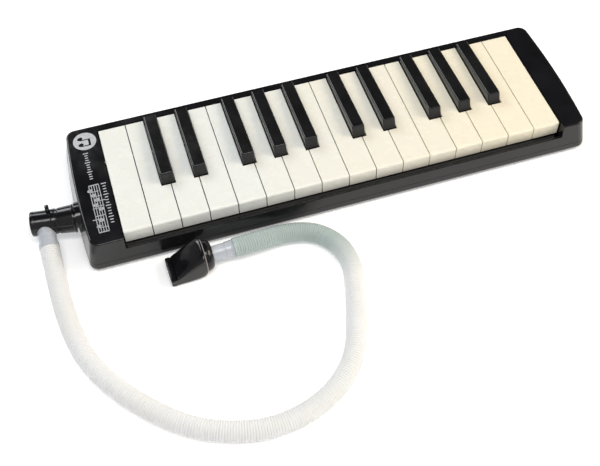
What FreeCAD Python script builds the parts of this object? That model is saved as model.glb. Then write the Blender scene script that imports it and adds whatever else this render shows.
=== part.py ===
"""A melodica with 26 keys and its blowing hose, as a parametric document in millimetres.

Frame: the origin is the centre of the casing's footprint, on the surface that it stands on. +X runs from the
low keys to the high keys, +Y from the player's side to the back of the keys, and +Z is up.
Wind goes from the mouthpiece through the hose, the elbow and the blow socket into a duct in the left cheek, then
into the wind chamber, past the reeds into the cells of the valve board, and out under the pad of a pressed key.
"""
import FreeCAD, Part
import math
import os
import Sketcher
from FreeCAD import Placement, Rotation, Vector

WHITES = 16
# The gap between whites that each black key stands over, and how far it stands from the middle of that gap.
BLACKS = [(2, -1.6), (3, 1.7), (5, -3.2), (6, 0), (7, 3.2), (9, -1.6), (10, 1.7), (12, -3.2), (13, 0), (14, 3.2)]
# The route of the hose from the elbow to the mouthpiece, in x, y and z from the casing's front left base corner.
# The first and last points come from the fittings that the hose is pushed onto.
ROUTE = [
    (-19.7, -24.9, 7.0), (-16.6, -48.4, 7.0), (-10.3, -70.9, 7.0), (2.2, -92.4, 7.0), (18.7, -112.4, 7.0),
    (37.2, -129.9, 7.0), (59.7, -141.9, 7.0), (85.2, -147.9, 7.0), (110.2, -145.4, 7.0), (134.2, -134.9, 7.0),
    (151.7, -116.4, 7.0), (160.9, -92.4, 7.0), (167.4, -70.4, 7.0), (172.6, -50.0, 7.0), (169.1, -30.3, 7.0),
    (155.7, -15.6, 7.0), (136.7, -11.2, 7.6),
]

SIZES = {
    # keys
    "key_pitch": 20, "key_gap": 0.7, "key_wall": 1.3, "key_top_wall": 2.2, "white_length": 94.9, "white_top": 27.5,
    "front_skirt": 11, "front_round": 1.6, "key_edge_round": 0.4, "black_length": 62.7, "black_width": 9.3,
    "black_rise": 7.5, "black_rear_rise": 3.8, "black_front_slope": 3.2, "black_edge_round": 1.1, "black_gap": 0.5,
    "black_front_gap": 1.0, "skirt_clearance": 3.0,
    # how the keys pivot and what they lift
    "pivot_from_rear": 24.9, "axle_radius": 1.5, "axle_clearance": 0.05, "axle_height": 6.0, "pallet_width": 8,
    "pallet_length": 11.5, "pallet_plate": 1.5, "pad_thickness": 2.2, "pad_gap": 0.05, "bracket_width": 4,
    "bracket_depth": 6, "bracket_head": 2.2,
    # casing
    "left_cheek": 29.7, "right_cheek": 24.7, "front_margin": 8.1, "rear_margin": 8.2, "end_bow": 2.5, "draft_angle": 5, "end_draft": 11,
    "wall": 2.2, "top_wall": 2.2, "floor_wall": 2.0, "foot_height": 2.0, "cheek_rise": 0.5, "split_height": 7.0,
    "seam_gap": 0.25, "rail_drop": 9.5, "rail_gap": 3.0, "corner_round": 6.5, "base_round": 3, "top_round": 1.2,
    "opening_gap": 0.6, "cheek_wall": 1.8, "cheek_wall_lift": 1.0, "rail_round": 0.6,
    # feet, posts and screws
    "foot_radius": 5, "foot_inset_x": 33.7, "foot_inset_y": 14.6, "post_radius": 3.2, "post_inset_x": 16.2, "post_inset_right": 10.9,
    "post_inset_y": 11.6, "screw_radius": 1.4, "screw_clearance": 0.1, "screw_head_radius": 2.7,
    "screw_head_height": 1.3, "case_screw_length": 17, "chamber_screw_length": 10, "slot_width": 0.6,
    # wind chamber, valve board and reeds
    "chamber_depth": 46.4, "chamber_behind_keys": 4.4, "chamber_left_gap": 3.5, "chamber_right_gap": 9.9,
    "tray_height": 4.9, "tray_floor": 1.4, "tray_wall": 1.6, "gasket_thickness": 0.6, "board_thickness": 5.0,
    "cell_width": 7, "cell_front": 5.6, "cell_length": 34.5, "cell_depth": 3.5, "valve_width": 5, "valve_length": 6.5,
    "plate_thickness": 1.0, "plate_gap": 1.0, "plate_length": 38.5, "plate_joint": 0.5, "reed_width": 2.0,
    "reed_long": 28, "reed_short": 12, "reed_thickness": 0.25, "reed_clearance": 0.15, "reed_root": 4.5,
    "rivet_radius": 0.7, "rivet_head_radius": 0.95, "rivet_head": 0.3, "plate_screw_radius": 0.9,
    "plate_screw_head": 1.7, "plate_screw_inset": 1.9, "boss_radius": 2.6, "boss_inset": 2.8,
    # springs and the felts under the keys
    "spring_width": 3.0, "spring_thickness": 0.3, "spring_foot": 8, "spring_reach": 15, "felt_width": 8,
    "felt_thickness": 2, "key_travel": 4.5, "felt_setback": 2, "felt_gap": 0.2, "rail_margin": 0.5,
    "black_felt_width": 6, "black_travel": 3.2, "black_felt_setback": 1.0,
    # drain valve under the right cheek
    "drain_inset": 5.2, "drain_from_rear": 17.8, "drain_button_radius": 4.2, "drain_clearance": 0.3,
    "drain_button_height": 1.3, "drain_recess": 0.3, "drain_travel": 1.2, "drain_stem_radius": 1.4,
    "drain_pocket": 0.9, "drain_seat": 1.0, "drain_seal_radius": 3.2, "drain_seal_height": 0.9, "drain_wire": 0.3,
    "drain_spring_radius": 2.2,
    # blow socket and duct
    "socket_from_front": 39.6, "socket_height": 15.5, "socket_wall": 1.1, "socket_lip": 2.2,
    "socket_flange": 1.2, "bore_radius": 7.5, "duct_from_chamber": 17.6, "duct_wall": 1.2,
    "duct_margin": 2.9, "duct_roof_gap": 0.4, "port_width": 18, "port_height": 2.4, "fit_gap": 0.1,
    # elbow
    "neck_gap": 1.1, "neck_length": 11.3, "neck_collar": 1.0, "neck_collar_radius": 10.2, "neck_root_radius": 9.8, "neck_end_radius": 9.0, "barrel_radius": 8.05,
    "barrel_length": 18.8, "barrel_round": 1.2, "plug_clearance": 0.05, "plug_length": 13, "elbow_bore": 5.5,
    "spigot_inset": 10.0, "spigot_radius": 4.6, "spigot_bore": 3.4, "spigot_reach": 18, "spigot_dip": 12,
    "tab_width": 2.8, "tab_height": 4.2, "tab_depth": 5, "ring_depth": 1.1, "ring_radius": 0.55,
    # hose, sleeves and mouthpiece
    "hose_radius": 6.7, "hose_wall": 1.1, "sleeve_root": 5.5, "sleeve_reach": 20, "sleeve_radius": 6.35,
    "sleeve_lip_radius": 6.9, "sleeve_lip": 2.2, "sleeve_nose": 6, "nose_gap": 0.1,
    "mouth_x": 83.7, "mouth_y": -15.6, "mouth_height": 11.3, "mouth_turn": 1.5, "mouth_sleeve_length": 15,
    "mouth_collar": 5.6, "mouth_collar_length": 5.5, "mouth_tube": 5.2, "mouth_tube_bore": 4.0,
    "mouth_plug": 8, "mouth_clearance": 0.05, "mouth_round": 11, "mouth_dome": 5, "dome_round": 2.5, "mouth_length": 31.5,
    "tip_width": 21, "tip_height": 6.2, "tip_lip": 2.6, "neck_thin": 0.7, "mouth_slot_width": 13,
    "mouth_slot_height": 2.4,
}

doc = FreeCAD.newDocument("Melodica")
sheet = doc.addObject("Spreadsheet::Sheet", "Sizes")
for row, (alias, size) in enumerate(SIZES.items(), start=1):
    sheet.set(f"A{row}", alias)
    sheet.set(f"B{row}", str(size))
    sheet.setAlias(f"B{row}", alias)
doc.recompute()
nodes = []


# Places that follow from the sizes. Each is an expression on the sheet.

HALF_LENGTH = f"(({WHITES} * Sizes.key_pitch + Sizes.left_cheek + Sizes.right_cheek) / 2)"
HALF_DEPTH = "((Sizes.front_margin + Sizes.white_length + Sizes.rear_margin) / 2)"
SLOPE = "tan(Sizes.draft_angle)"
END_SLOPE = "tan(Sizes.end_draft)"
KEY_LEFT = f"(Sizes.left_cheek - {HALF_LENGTH})"
KEY_RIGHT = f"({KEY_LEFT} + {WHITES} * Sizes.key_pitch)"
KEY_FRONT = f"(Sizes.front_margin - {HALF_DEPTH})"
KEY_REAR = f"({KEY_FRONT} + Sizes.white_length)"
BLACK_FRONT = f"({KEY_REAR} - Sizes.black_length)"
PIVOT_Y = f"({KEY_REAR} - Sizes.pivot_from_rear)"
FLOOR_TOP = "(Sizes.foot_height + Sizes.floor_wall)"
TRAY_TOP = f"({FLOOR_TOP} + Sizes.tray_height)"
BOARD_BASE = f"({TRAY_TOP} + Sizes.gasket_thickness)"
BOARD_TOP = f"({BOARD_BASE} + Sizes.board_thickness)"
AXLE_Z = f"({BOARD_TOP} + Sizes.axle_height)"
SKIRT_BASE = f"({BOARD_TOP} + Sizes.skirt_clearance)"
CASE_TOP = "(Sizes.white_top + Sizes.cheek_rise)"
SPLIT = "(Sizes.foot_height + Sizes.split_height)"
RAIL_TOP = "(Sizes.white_top - Sizes.rail_drop)"
ROOF = f"({CASE_TOP} - Sizes.top_wall)"
CHAMBER_LEFT = f"({KEY_LEFT} - Sizes.chamber_left_gap)"
CHAMBER_RIGHT = f"({KEY_RIGHT} + Sizes.chamber_right_gap)"
CHAMBER_REAR = f"({KEY_REAR} + Sizes.chamber_behind_keys)"
CHAMBER_FRONT = f"({CHAMBER_REAR} - Sizes.chamber_depth)"
CHAMBER_LONG = f"({CHAMBER_RIGHT} - {CHAMBER_LEFT})"
CELL_FRONT = f"({CHAMBER_FRONT} + Sizes.cell_front)"
CELL_REAR = f"({CELL_FRONT} + Sizes.cell_length)"
PLATE_FRONT = f"({CHAMBER_FRONT} + Sizes.tray_wall + Sizes.plate_gap)"
PLATE_BASE = f"({BOARD_BASE} - Sizes.plate_thickness)"
PLATE_MIDDLE = f"({KEY_LEFT} + {WHITES // 2} * Sizes.key_pitch)"
# The felts that stop the keys: where each starts, its width and its top.
FELTS = {
    "white": (
        f"({KEY_FRONT} + Sizes.felt_setback)", "Sizes.felt_width",
        "(Sizes.white_top - Sizes.front_skirt - Sizes.key_travel - Sizes.felt_gap)",
    ),
    "black": (
        f"({BLACK_FRONT} + Sizes.black_felt_setback)", "Sizes.black_felt_width",
        f"({SKIRT_BASE} - Sizes.black_travel - Sizes.felt_gap)",
    ),
}
POST_LEFT = f"(Sizes.post_inset_x - {HALF_LENGTH})"
POST_RIGHT = f"({HALF_LENGTH} - Sizes.post_inset_right)"
POST_Y = f"({HALF_DEPTH} - Sizes.post_inset_y)"
DRAIN_X = f"({CHAMBER_RIGHT} - Sizes.drain_inset)"
DRAIN_Y = f"({CHAMBER_REAR} - Sizes.drain_from_rear)"
DRAIN_SEAT = f"({FLOOR_TOP} + Sizes.tray_floor + Sizes.drain_seat)"
DRAIN_BASE = "(Sizes.foot_height + Sizes.drain_recess)"
SOCKET_Y = f"(Sizes.socket_from_front - {HALF_DEPTH})"
WALL_X = f"(-{HALF_LENGTH} + (Sizes.socket_height - Sizes.foot_height) * {END_SLOPE})"
SOCKET_RADIUS = "(Sizes.bore_radius + Sizes.socket_wall)"
PLUG_RADIUS = "(Sizes.bore_radius - Sizes.plug_clearance)"
HOSE_BORE = "(Sizes.hose_radius - Sizes.hose_wall)"
NOSE_RADIUS = f"({HOSE_BORE} - Sizes.nose_gap)"
SOCKET_X = f"({WALL_X} - Sizes.socket_flange)"
NECK_X = f"({SOCKET_X} - Sizes.neck_gap)"
BARREL_X = f"({NECK_X} - Sizes.neck_length)"
SPIGOT_X = f"({BARREL_X} - Sizes.spigot_inset)"


def value(expression):
    """The number that an expression on the sheet gives."""
    return float(sheet.evalExpression(str(expression)))


def bind(item, properties):
    """Ties properties of an object to expressions on the sheet."""
    for name, expression in properties.items():
        item.setExpression(name, str(expression))
    return item


def place(item, x, y, z):
    """Puts an object at a point given by expressions."""
    return bind(item, {"Placement.Base.x": x, "Placement.Base.y": y, "Placement.Base.z": z})


# Directions that a cylinder or a cone can stand in.
UP = Rotation()
ALONG_X = Rotation(Vector(0, 1, 0), 90)
ALONG_MINUS_X = Rotation(Vector(0, 1, 0), -90)


def box(name, x, y, z, length, width, height):
    """A block from its lowest corner, its length along X, its width along Y and its height."""
    block = doc.addObject("Part::Box", name)
    bind(block, {"Length": length, "Width": width, "Height": height})
    return place(block, x, y, z)


def rod(name, x, y, z, radius, height, turn=UP):
    """A cylinder from the centre of its first end."""
    cylinder = doc.addObject("Part::Cylinder", name)
    cylinder.Placement = Placement(Vector(), turn)
    bind(cylinder, {"Radius": radius, "Height": height})
    return place(cylinder, x, y, z)


def cone(name, x, y, z, radius, end_radius, height, turn=UP):
    """A cone from the centre of its first end."""
    frustum = doc.addObject("Part::Cone", name)
    frustum.Placement = Placement(Vector(), turn)
    bind(frustum, {"Radius1": radius, "Radius2": end_radius, "Height": height})
    return place(frustum, x, y, z)


def fuse(name, *pieces):
    """One solid from several that meet."""
    union = doc.addObject("Part::MultiFuse", name)
    union.Shapes = list(pieces)
    return union


def cut(name, base, *tools):
    """A solid with others taken away from it."""
    difference = doc.addObject("Part::Cut", name)
    difference.Base = base
    difference.Tool = tools[0] if len(tools) == 1 else fuse(name + "_tools", *tools)
    return difference


def common(name, base, tool):
    """What two solids share."""
    shared = doc.addObject("Part::Common", name)
    shared.Base = base
    shared.Tool = tool
    return shared


def group(name, pieces):
    """Separate solids that share one node."""
    compound = doc.addObject("Part::Compound", name)
    compound.Links = list(pieces)
    return compound


def node(label, item):
    """Names a finished sub-part and puts it on the list of those to write."""
    item.Label = label
    nodes.append(item)
    return item


# Sketches and bodies.


def new_body(name):
    return doc.addObject("PartDesign::Body", name)


def new_sketch(body, name, role="XY_Plane", offset="0"):
    """A sketch on one of the body's own planes, lifted off it by an expression."""
    sketch = body.newObject("Sketcher::SketchObject", name)
    plane = [part for part in body.Origin.OriginFeatures if part.Role == role][0]
    sketch.AttachmentSupport = (plane, [""])
    sketch.MapMode = "FlatFace"
    sketch.setExpression("AttachmentOffset.Base.z", offset)
    return sketch


def dimension(sketch, expression, kind, *where):
    """A dimension of a sketch that an expression sets."""
    number = sketch.addConstraint(Sketcher.Constraint(kind, *where, value(expression)))
    sketch.setExpression(f"Constraints[{number}]", expression)


def polygon(sketch, corners):
    """A closed outline through corners given by pairs of expressions."""
    points = [Vector(value(x), value(y), 0) for x, y in corners]
    first = sketch.GeometryCount
    for start, end in zip(points, points[1:] + points[:1]):
        sketch.addGeometry(Part.LineSegment(start, end))
    for number, (x, y) in enumerate(corners):
        following = first + (number + 1) % len(corners)
        sketch.addConstraint(Sketcher.Constraint("Coincident", first + number, 2, following, 1))
        dimension(sketch, x, "DistanceX", -1, 1, first + number, 1)
        dimension(sketch, y, "DistanceY", -1, 1, first + number, 1)


def circle(sketch, x, y, radius):
    """A circle about a point given by expressions."""
    ring = sketch.addGeometry(Part.Circle(Vector(value(x), value(y), 0), Vector(0, 0, 1), value(radius)))
    dimension(sketch, radius, "Radius", ring)
    dimension(sketch, x, "DistanceX", -1, 1, ring, 3)
    dimension(sketch, y, "DistanceY", -1, 1, ring, 3)


def pad(body, name, sketch, length, taper=None):
    extrusion = body.newObject("PartDesign::Pad", name)
    extrusion.Profile = sketch
    extrusion.setExpression("Length", length)
    if taper:
        extrusion.setExpression("TaperAngle", taper)
    return extrusion


def pocket(body, name, sketch, depth):
    """A cut that runs up from the sketch's plane."""
    hollow = body.newObject("PartDesign::Pocket", name)
    hollow.Profile = sketch
    hollow.Reversed = True
    hollow.setExpression("Length", depth)
    return hollow


def round_edges(body, name, base, chosen, radius):
    """Fillets the edges of a body's feature that a test picks."""
    doc.recompute()
    edges = [f"Edge{number}" for number, edge in enumerate(base.Shape.Edges, start=1) if chosen(edge.BoundBox)]
    fillet = body.newObject("PartDesign::Fillet", name)
    fillet.Base = (base, edges)
    fillet.setExpression("Radius", radius)
    return fillet


# Keys.


def boundary(number):
    """The line between two white keys, counted from the left end of the row."""
    return f"({KEY_LEFT} + {number} * Sizes.key_pitch)"


def black_centre(gap, offset):
    return f"({boundary(gap)} + {offset} * Sizes.key_pitch / 20)"


BLACK_AT = {gap: black_centre(gap, offset) for gap, offset in BLACKS}


def white_sides(number):
    """The left and right side of a white key at its front, and of its tail between the black keys."""
    left = f"({boundary(number)} + Sizes.key_gap / 2)"
    right = f"({boundary(number + 1)} - Sizes.key_gap / 2)"
    tail_left, tail_right = left, right
    if number in BLACK_AT:
        tail_left = f"({BLACK_AT[number]} + Sizes.black_width / 2 + Sizes.black_gap)"
    if number + 1 in BLACK_AT:
        tail_right = f"({BLACK_AT[number + 1]} - Sizes.black_width / 2 - Sizes.black_gap)"
    return left, right, tail_left, tail_right


def white_outline(number, inset):
    """The outline of a white key seen from above, drawn in by an inset."""
    left, right, tail_left, tail_right = white_sides(number)
    shoulder = f"({BLACK_FRONT} - Sizes.black_front_gap - {inset})"
    front, rear = f"{KEY_FRONT} + {inset}", f"{KEY_REAR} - {inset}"
    corners = [(f"{left} + {inset}", front), (f"{right} - {inset}", front)]
    if tail_right != right:
        corners += [(f"{right} - {inset}", shoulder), (f"{tail_right} - {inset}", shoulder)]
    corners += [(f"{tail_right} - {inset}", rear), (f"{tail_left} + {inset}", rear)]
    if tail_left != left:
        corners += [(f"{tail_left} + {inset}", shoulder), (f"{left} + {inset}", shoulder)]
    return corners


def valve_centres():
    """Where each key's pad and reed cell stand, for the whites and then the blacks."""
    tails = [white_sides(number)[2:] for number in range(WHITES)]
    return [f"(({left} + {right}) / 2)" for left, right in tails] + list(BLACK_AT.values())


PALLET_BASE = f"({BOARD_TOP} + Sizes.pad_gap + Sizes.pad_thickness)"
PALLET_REAR = KEY_REAR
PALLET_FRONT = f"({PALLET_REAR} - Sizes.pallet_length)"


def finish_key(label, cap, left, right, centre):
    """Adds the pallet under the key's tail, bores its hinge and sets the pad under the pallet."""
    wide = f"({right} - {left})"
    pallet = box(label + "_pallet", left, PALLET_FRONT, PALLET_BASE, wide, "Sizes.pallet_length", "Sizes.pallet_plate")
    hinge = rod(
        label + "_hinge", f"{left} - 1", PIVOT_Y, AXLE_Z, "Sizes.axle_radius + Sizes.axle_clearance", f"{wide} + 2",
        ALONG_X,
    )
    lever = cut(label + "_lever", fuse(label + "_whole", cap, pallet), hinge)
    pad_left = f"{centre} - Sizes.pallet_width / 2"
    pad_base = f"{BOARD_TOP} + Sizes.pad_gap"
    valve_pad = box(
        label + "_pad", pad_left, PALLET_FRONT, pad_base, "Sizes.pallet_width", "Sizes.pallet_length",
        "Sizes.pad_thickness",
    )
    node(label, group(label + "_group", [lever, valve_pad]))


def white_key(number):
    """A hollow cap with a deeper front skirt, notched beside the black keys."""
    label = f"white_key_{number + 1:02d}"
    left, right, tail_left, tail_right = white_sides(number)
    body = new_body(label + "_cap")
    plan = new_sketch(body, label + "_plan", offset=SKIRT_BASE)
    polygon(plan, white_outline(number, "0"))
    block = pad(body, label + "_block", plan, f"Sizes.white_top - {SKIRT_BASE}")
    top, front = value("Sizes.white_top"), value(KEY_FRONT)
    near = 0.01

    def front_edge(bounds):
        return bounds.ZMin > top - near and bounds.YMax < front + near

    def side_edge(bounds):
        return bounds.ZMin > top - near and bounds.YMin > front + near

    sides = round_edges(body, label + "_sides", block, side_edge, "Sizes.key_edge_round")
    brow = round_edges(body, label + "_brow", sides, front_edge, "Sizes.front_round")
    inner = new_sketch(body, label + "_inner", offset=SKIRT_BASE)
    polygon(inner, white_outline(number, "Sizes.key_wall"))
    hollow = pocket(body, label + "_hollow", inner, f"Sizes.white_top - Sizes.key_top_wall - {SKIRT_BASE}")
    skirt_base = "(Sizes.white_top - Sizes.front_skirt)"
    skirt = new_sketch(body, label + "_skirt", offset=skirt_base)
    rear_of_skirt = f"{KEY_FRONT} + Sizes.key_wall"
    polygon(skirt, [(left, KEY_FRONT), (right, KEY_FRONT), (right, rear_of_skirt), (left, rear_of_skirt)])
    body.Tip = hollow
    body.Tip = pad(body, label + "_apron", skirt, f"Sizes.front_skirt - Sizes.front_round - 0.5")
    finish_key(label, body, tail_left, tail_right, f"(({tail_left} + {tail_right}) / 2)")


def black_key(number, gap):
    """A narrow key that stands highest at its front, which leans in, and falls towards its rear."""
    label = f"black_key_{number + 1:02d}"
    centre = BLACK_AT[gap]
    left, right = f"({centre} - Sizes.black_width / 2)", f"({centre} + Sizes.black_width / 2)"
    body = new_body(label + "_cap")
    plan = new_sketch(body, label + "_plan", offset=SKIRT_BASE)
    polygon(plan, [(left, BLACK_FRONT), (right, BLACK_FRONT), (right, KEY_REAR), (left, KEY_REAR)])
    block = pad(body, label + "_block", plan, f"Sizes.white_top - {SKIRT_BASE}")
    inner = new_sketch(body, label + "_inner", offset=SKIRT_BASE)
    inner_left, inner_right = f"{left} + Sizes.key_wall", f"{right} - Sizes.key_wall"
    inner_front, inner_rear = f"{BLACK_FRONT} + Sizes.key_wall", f"{KEY_REAR} - Sizes.key_wall"
    polygon(
        inner,
        [(inner_left, inner_front), (inner_right, inner_front), (inner_right, inner_rear), (inner_left, inner_rear)],
    )
    body.Tip = block
    body.Tip = pocket(body, label + "_hollow", inner, f"Sizes.white_top - Sizes.key_top_wall - {SKIRT_BASE}")
    # The raised part: its side outline, which falls from the front to the rear, run across the key.
    profile_body = new_body(label + "_raised")
    profile = new_sketch(profile_body, label + "_profile", "YZ_Plane", left)
    polygon(
        profile,
        [
            (KEY_REAR, "Sizes.white_top"), (BLACK_FRONT, "Sizes.white_top"),
            (f"{BLACK_FRONT} + Sizes.black_front_slope", "Sizes.white_top + Sizes.black_rise"),
            (KEY_REAR, "Sizes.white_top + Sizes.black_rear_rise"),
        ],
    )
    raised = pad(profile_body, label + "_ridge", profile, "Sizes.black_width")
    doc.recompute()
    top = value("Sizes.white_top")
    rear = value(KEY_REAR)
    crest = doc.addObject("Part::Fillet", label + "_crest")
    crest.Base = raised
    radius = value("Sizes.black_edge_round")
    crest.Edges = [
        (edge_number, radius, radius)
        for edge_number, edge in enumerate(raised.Shape.Edges, start=1)
        if edge.BoundBox.ZMax > top + 0.01 and edge.BoundBox.YMin < rear - 0.01
    ]
    finish_key(label, fuse(label + "_body", body, crest), left, right, centre)


for white_number in range(WHITES):
    white_key(white_number)
for black_number, (gap_number, _) in enumerate(BLACKS):
    black_key(black_number, gap_number)


# Casing.


def round_shape(name, base, chosen, radius):
    """Fillets the edges of a solid that a test picks."""
    doc.recompute()
    rounded = doc.addObject("Part::Fillet", name)
    rounded.Base = base
    rounded.Edges = [
        (number, value(radius), value(radius))
        for number, edge in enumerate(base.Shape.Edges, start=1)
        if chosen(edge.BoundBox)
    ]
    return rounded


def casing_form(name, inset, base, top, corner, under=None, over=None):
    """The casing's outer shape, or its hollow: rounded corners and walls that lean in, the bowed ends the most."""
    bow = f"(({HALF_DEPTH}^2 + Sizes.end_bow^2) / (2 * Sizes.end_bow))"
    rise = f"({base} - Sizes.foot_height)"
    radius = f"({bow} - {inset} - {rise} * {END_SLOPE})"
    centre = f"({HALF_LENGTH} - {bow})"
    beyond = f"({HALF_DEPTH} + 10)"
    bow_radius, depth, middle = value(radius), value(beyond), value(centre)
    swing = math.asin(depth / bow_radius)
    corner_x = middle + bow_radius * math.cos(swing)
    ends = new_body(name + "_ends")
    plan = new_sketch(ends, name + "_end_plan", offset=base)
    plan.addGeometry(Part.LineSegment(Vector(-corner_x, -depth, 0), Vector(corner_x, -depth, 0)))
    right_end = Part.Circle(Vector(middle, 0, 0), Vector(0, 0, 1), bow_radius)
    plan.addGeometry(Part.ArcOfCircle(right_end, -swing, swing))
    plan.addGeometry(Part.LineSegment(Vector(corner_x, depth, 0), Vector(-corner_x, depth, 0)))
    left_end = Part.Circle(Vector(-middle, 0, 0), Vector(0, 0, 1), bow_radius)
    plan.addGeometry(Part.ArcOfCircle(left_end, math.pi - swing, math.pi + swing))
    for line in range(4):
        plan.addConstraint(Sketcher.Constraint("Coincident", line, 2, (line + 1) % 4, 1))
    for line, side in ((0, "-"), (2, "")):
        plan.addConstraint(Sketcher.Constraint("Horizontal", line))
        dimension(plan, side + beyond, "DistanceY", -1, 1, line, 1)
    for arc, side in ((1, ""), (3, "-")):
        dimension(plan, radius, "Radius", arc)
        dimension(plan, side + centre, "DistanceX", -1, 1, arc, 3)
        plan.addConstraint(Sketcher.Constraint("PointOnObject", arc, 3, -1))
    pad(ends, name + "_end_block", plan, f"{top} - {base}", "-Sizes.end_draft")
    sides = new_body(name + "_sides")
    strip = new_sketch(sides, name + "_side_plan", offset=base)
    far = f"({HALF_LENGTH} + 10)"
    half_depth = f"({HALF_DEPTH} - {inset} - {rise} * {SLOPE})"
    polygon(
        strip,
        [(f"-{far}", f"-{half_depth}"), (far, f"-{half_depth}"), (far, half_depth), (f"-{far}", half_depth)],
    )
    pad(sides, name + "_side_block", strip, f"{top} - {base}", "-Sizes.draft_angle")
    shape = common(name, ends, sides)
    low, high = value(base), value(top)
    half_height = (high - low) / 2
    shape = round_shape(name + "_corners", shape, lambda bounds: bounds.ZLength > half_height, corner)
    if under:
        shape = round_shape(name + "_under", shape, lambda bounds: bounds.ZMax < low + 0.01, under)
    if over:
        shape = round_shape(name + "_over", shape, lambda bounds: bounds.ZMin > high - 0.01, over)
    return shape


OUTER = casing_form(
    "outer_form", "0", "Sizes.foot_height", CASE_TOP, "Sizes.corner_round", "Sizes.base_round", "Sizes.top_round"
)
INNER = casing_form(
    "inner_form", "Sizes.wall", FLOOR_TOP, ROOF, "Sizes.corner_round - Sizes.wall", "Sizes.base_round - Sizes.wall"
)
BEYOND = f"({HALF_LENGTH} + 10)"
BEYOND_Y = f"({HALF_DEPTH} + 10)"
POSTS = [(x, side + POST_Y) for x in (POST_LEFT, POST_RIGHT) for side in ("-", "")]
CHAMBER_POSTS_X = [f"({KEY_LEFT} + {share} * Sizes.key_pitch)" for share in (1.0, 5.5, 10.5, 15.0)]
REAR_POST_Y = f"({CHAMBER_REAR} - Sizes.boss_inset)"
FRONT_POST_Y = f"({CHAMBER_FRONT} - Sizes.boss_inset)"
CHAMBER_POSTS = [(x, y) for y in (FRONT_POST_Y, REAR_POST_Y) for x in CHAMBER_POSTS_X]
SCREW_HOLE = "Sizes.screw_radius + Sizes.screw_clearance"


def lower_case():
    """The bottom shell: floor, low walls, screw posts and the rails that carry the felts under the keys."""
    slab = box(
        "lower_slab", f"-{BEYOND}", f"-{BEYOND_Y}", "0", f"2 * {BEYOND}", f"2 * {BEYOND_Y}", SPLIT,
    )
    shell = cut("lower_shell", common("lower_solid", OUTER, slab), INNER)
    posts = [
        rod(f"lower_post_{number}", x, y, "Sizes.foot_height", "Sizes.post_radius", "Sizes.split_height")
        for number, (x, y) in enumerate(POSTS)
    ]
    rails = [
        box(
            f"{name}_rail", KEY_LEFT, f"{start} - Sizes.rail_margin", "Sizes.foot_height + 0.5",
            f"{KEY_RIGHT} - {KEY_LEFT}", f"{width} + 2 * Sizes.rail_margin",
            f"{top} - Sizes.felt_thickness - Sizes.foot_height - 0.5",
        )
        for name, (start, width, top) in FELTS.items()
    ]
    body = fuse("lower_body", shell, *rails, *posts)
    holes = [
        rod(f"lower_hole_{number}", x, y, "0", SCREW_HOLE, f"{SPLIT} + 1")
        for number, (x, y) in enumerate(POSTS + CHAMBER_POSTS)
    ]
    drain = rod(
        "drain_opening", DRAIN_X, DRAIN_Y, "0", "Sizes.drain_button_radius + Sizes.drain_clearance",
        f"{FLOOR_TOP} + 0.01",
    )
    node("lower_case", cut("lower_cut", body, socket_hole("lower"), drain, *holes))


def socket_hole(name):
    return rod(
        name + "_socket_hole", f"-{BEYOND}", SOCKET_Y, "Sizes.socket_height", f"{SOCKET_RADIUS} + Sizes.fit_gap",
        f"{BEYOND} + {CHAMBER_LEFT} - Sizes.duct_wall", ALONG_X,
    )


def upper_case():
    """The top shell: both cheeks, the strip behind the keys and the low rail in front of them."""
    base = f"({SPLIT} + Sizes.seam_gap)"
    slab = box(
        "upper_slab", f"-{BEYOND}", f"-{BEYOND_Y}", base, f"2 * {BEYOND}", f"2 * {BEYOND_Y}", f"2 * {CASE_TOP}",
    )
    shell = cut("upper_shell", common("upper_solid", OUTER, slab), INNER)
    opening_left = f"({KEY_LEFT} - Sizes.opening_gap)"
    opening_wide = f"({KEY_RIGHT} - {KEY_LEFT} + 2 * Sizes.opening_gap)"
    wall_base = f"({BOARD_TOP} + Sizes.cheek_wall_lift)"
    inner_walls = [
        box(
            f"cheek_wall_{side}", x, f"Sizes.wall - {HALF_DEPTH} + 1.6", wall_base, "Sizes.cheek_wall",
            f"2 * {HALF_DEPTH} - 2 * Sizes.wall - 3.6", f"{ROOF} + 0.5 - {wall_base}",
        )
        for side, x in (
            ("left", f"{opening_left} - Sizes.cheek_wall"),
            ("right", f"{opening_left} + {opening_wide}"),
        )
    ]
    posts = [
        rod(f"upper_post_{number}", x, y, base, "Sizes.post_radius", f"{ROOF} + 0.5 - {base}")
        for number, (x, y) in enumerate(POSTS)
    ]
    body = fuse("upper_body", shell, *inner_walls, *posts)
    opening_front = f"({KEY_FRONT} - Sizes.rail_gap)"
    opening = box(
        "key_opening", opening_left, opening_front, base, opening_wide,
        f"{KEY_REAR} + Sizes.opening_gap - {opening_front}", f"2 * {CASE_TOP}",
    )
    above_rail = box(
        "above_rail", opening_left, f"-{BEYOND_Y}", RAIL_TOP, opening_wide, f"{BEYOND_Y} + {KEY_FRONT}",
        f"2 * {CASE_TOP}",
    )
    holes = [
        rod(f"upper_hole_{number}", x, y, "0", SCREW_HOLE, "Sizes.foot_height + Sizes.case_screw_length + 1")
        for number, (x, y) in enumerate(POSTS)
    ]
    node("upper_case", cut("upper_cut", body, opening, above_rail, socket_hole("upper"), *holes))


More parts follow.
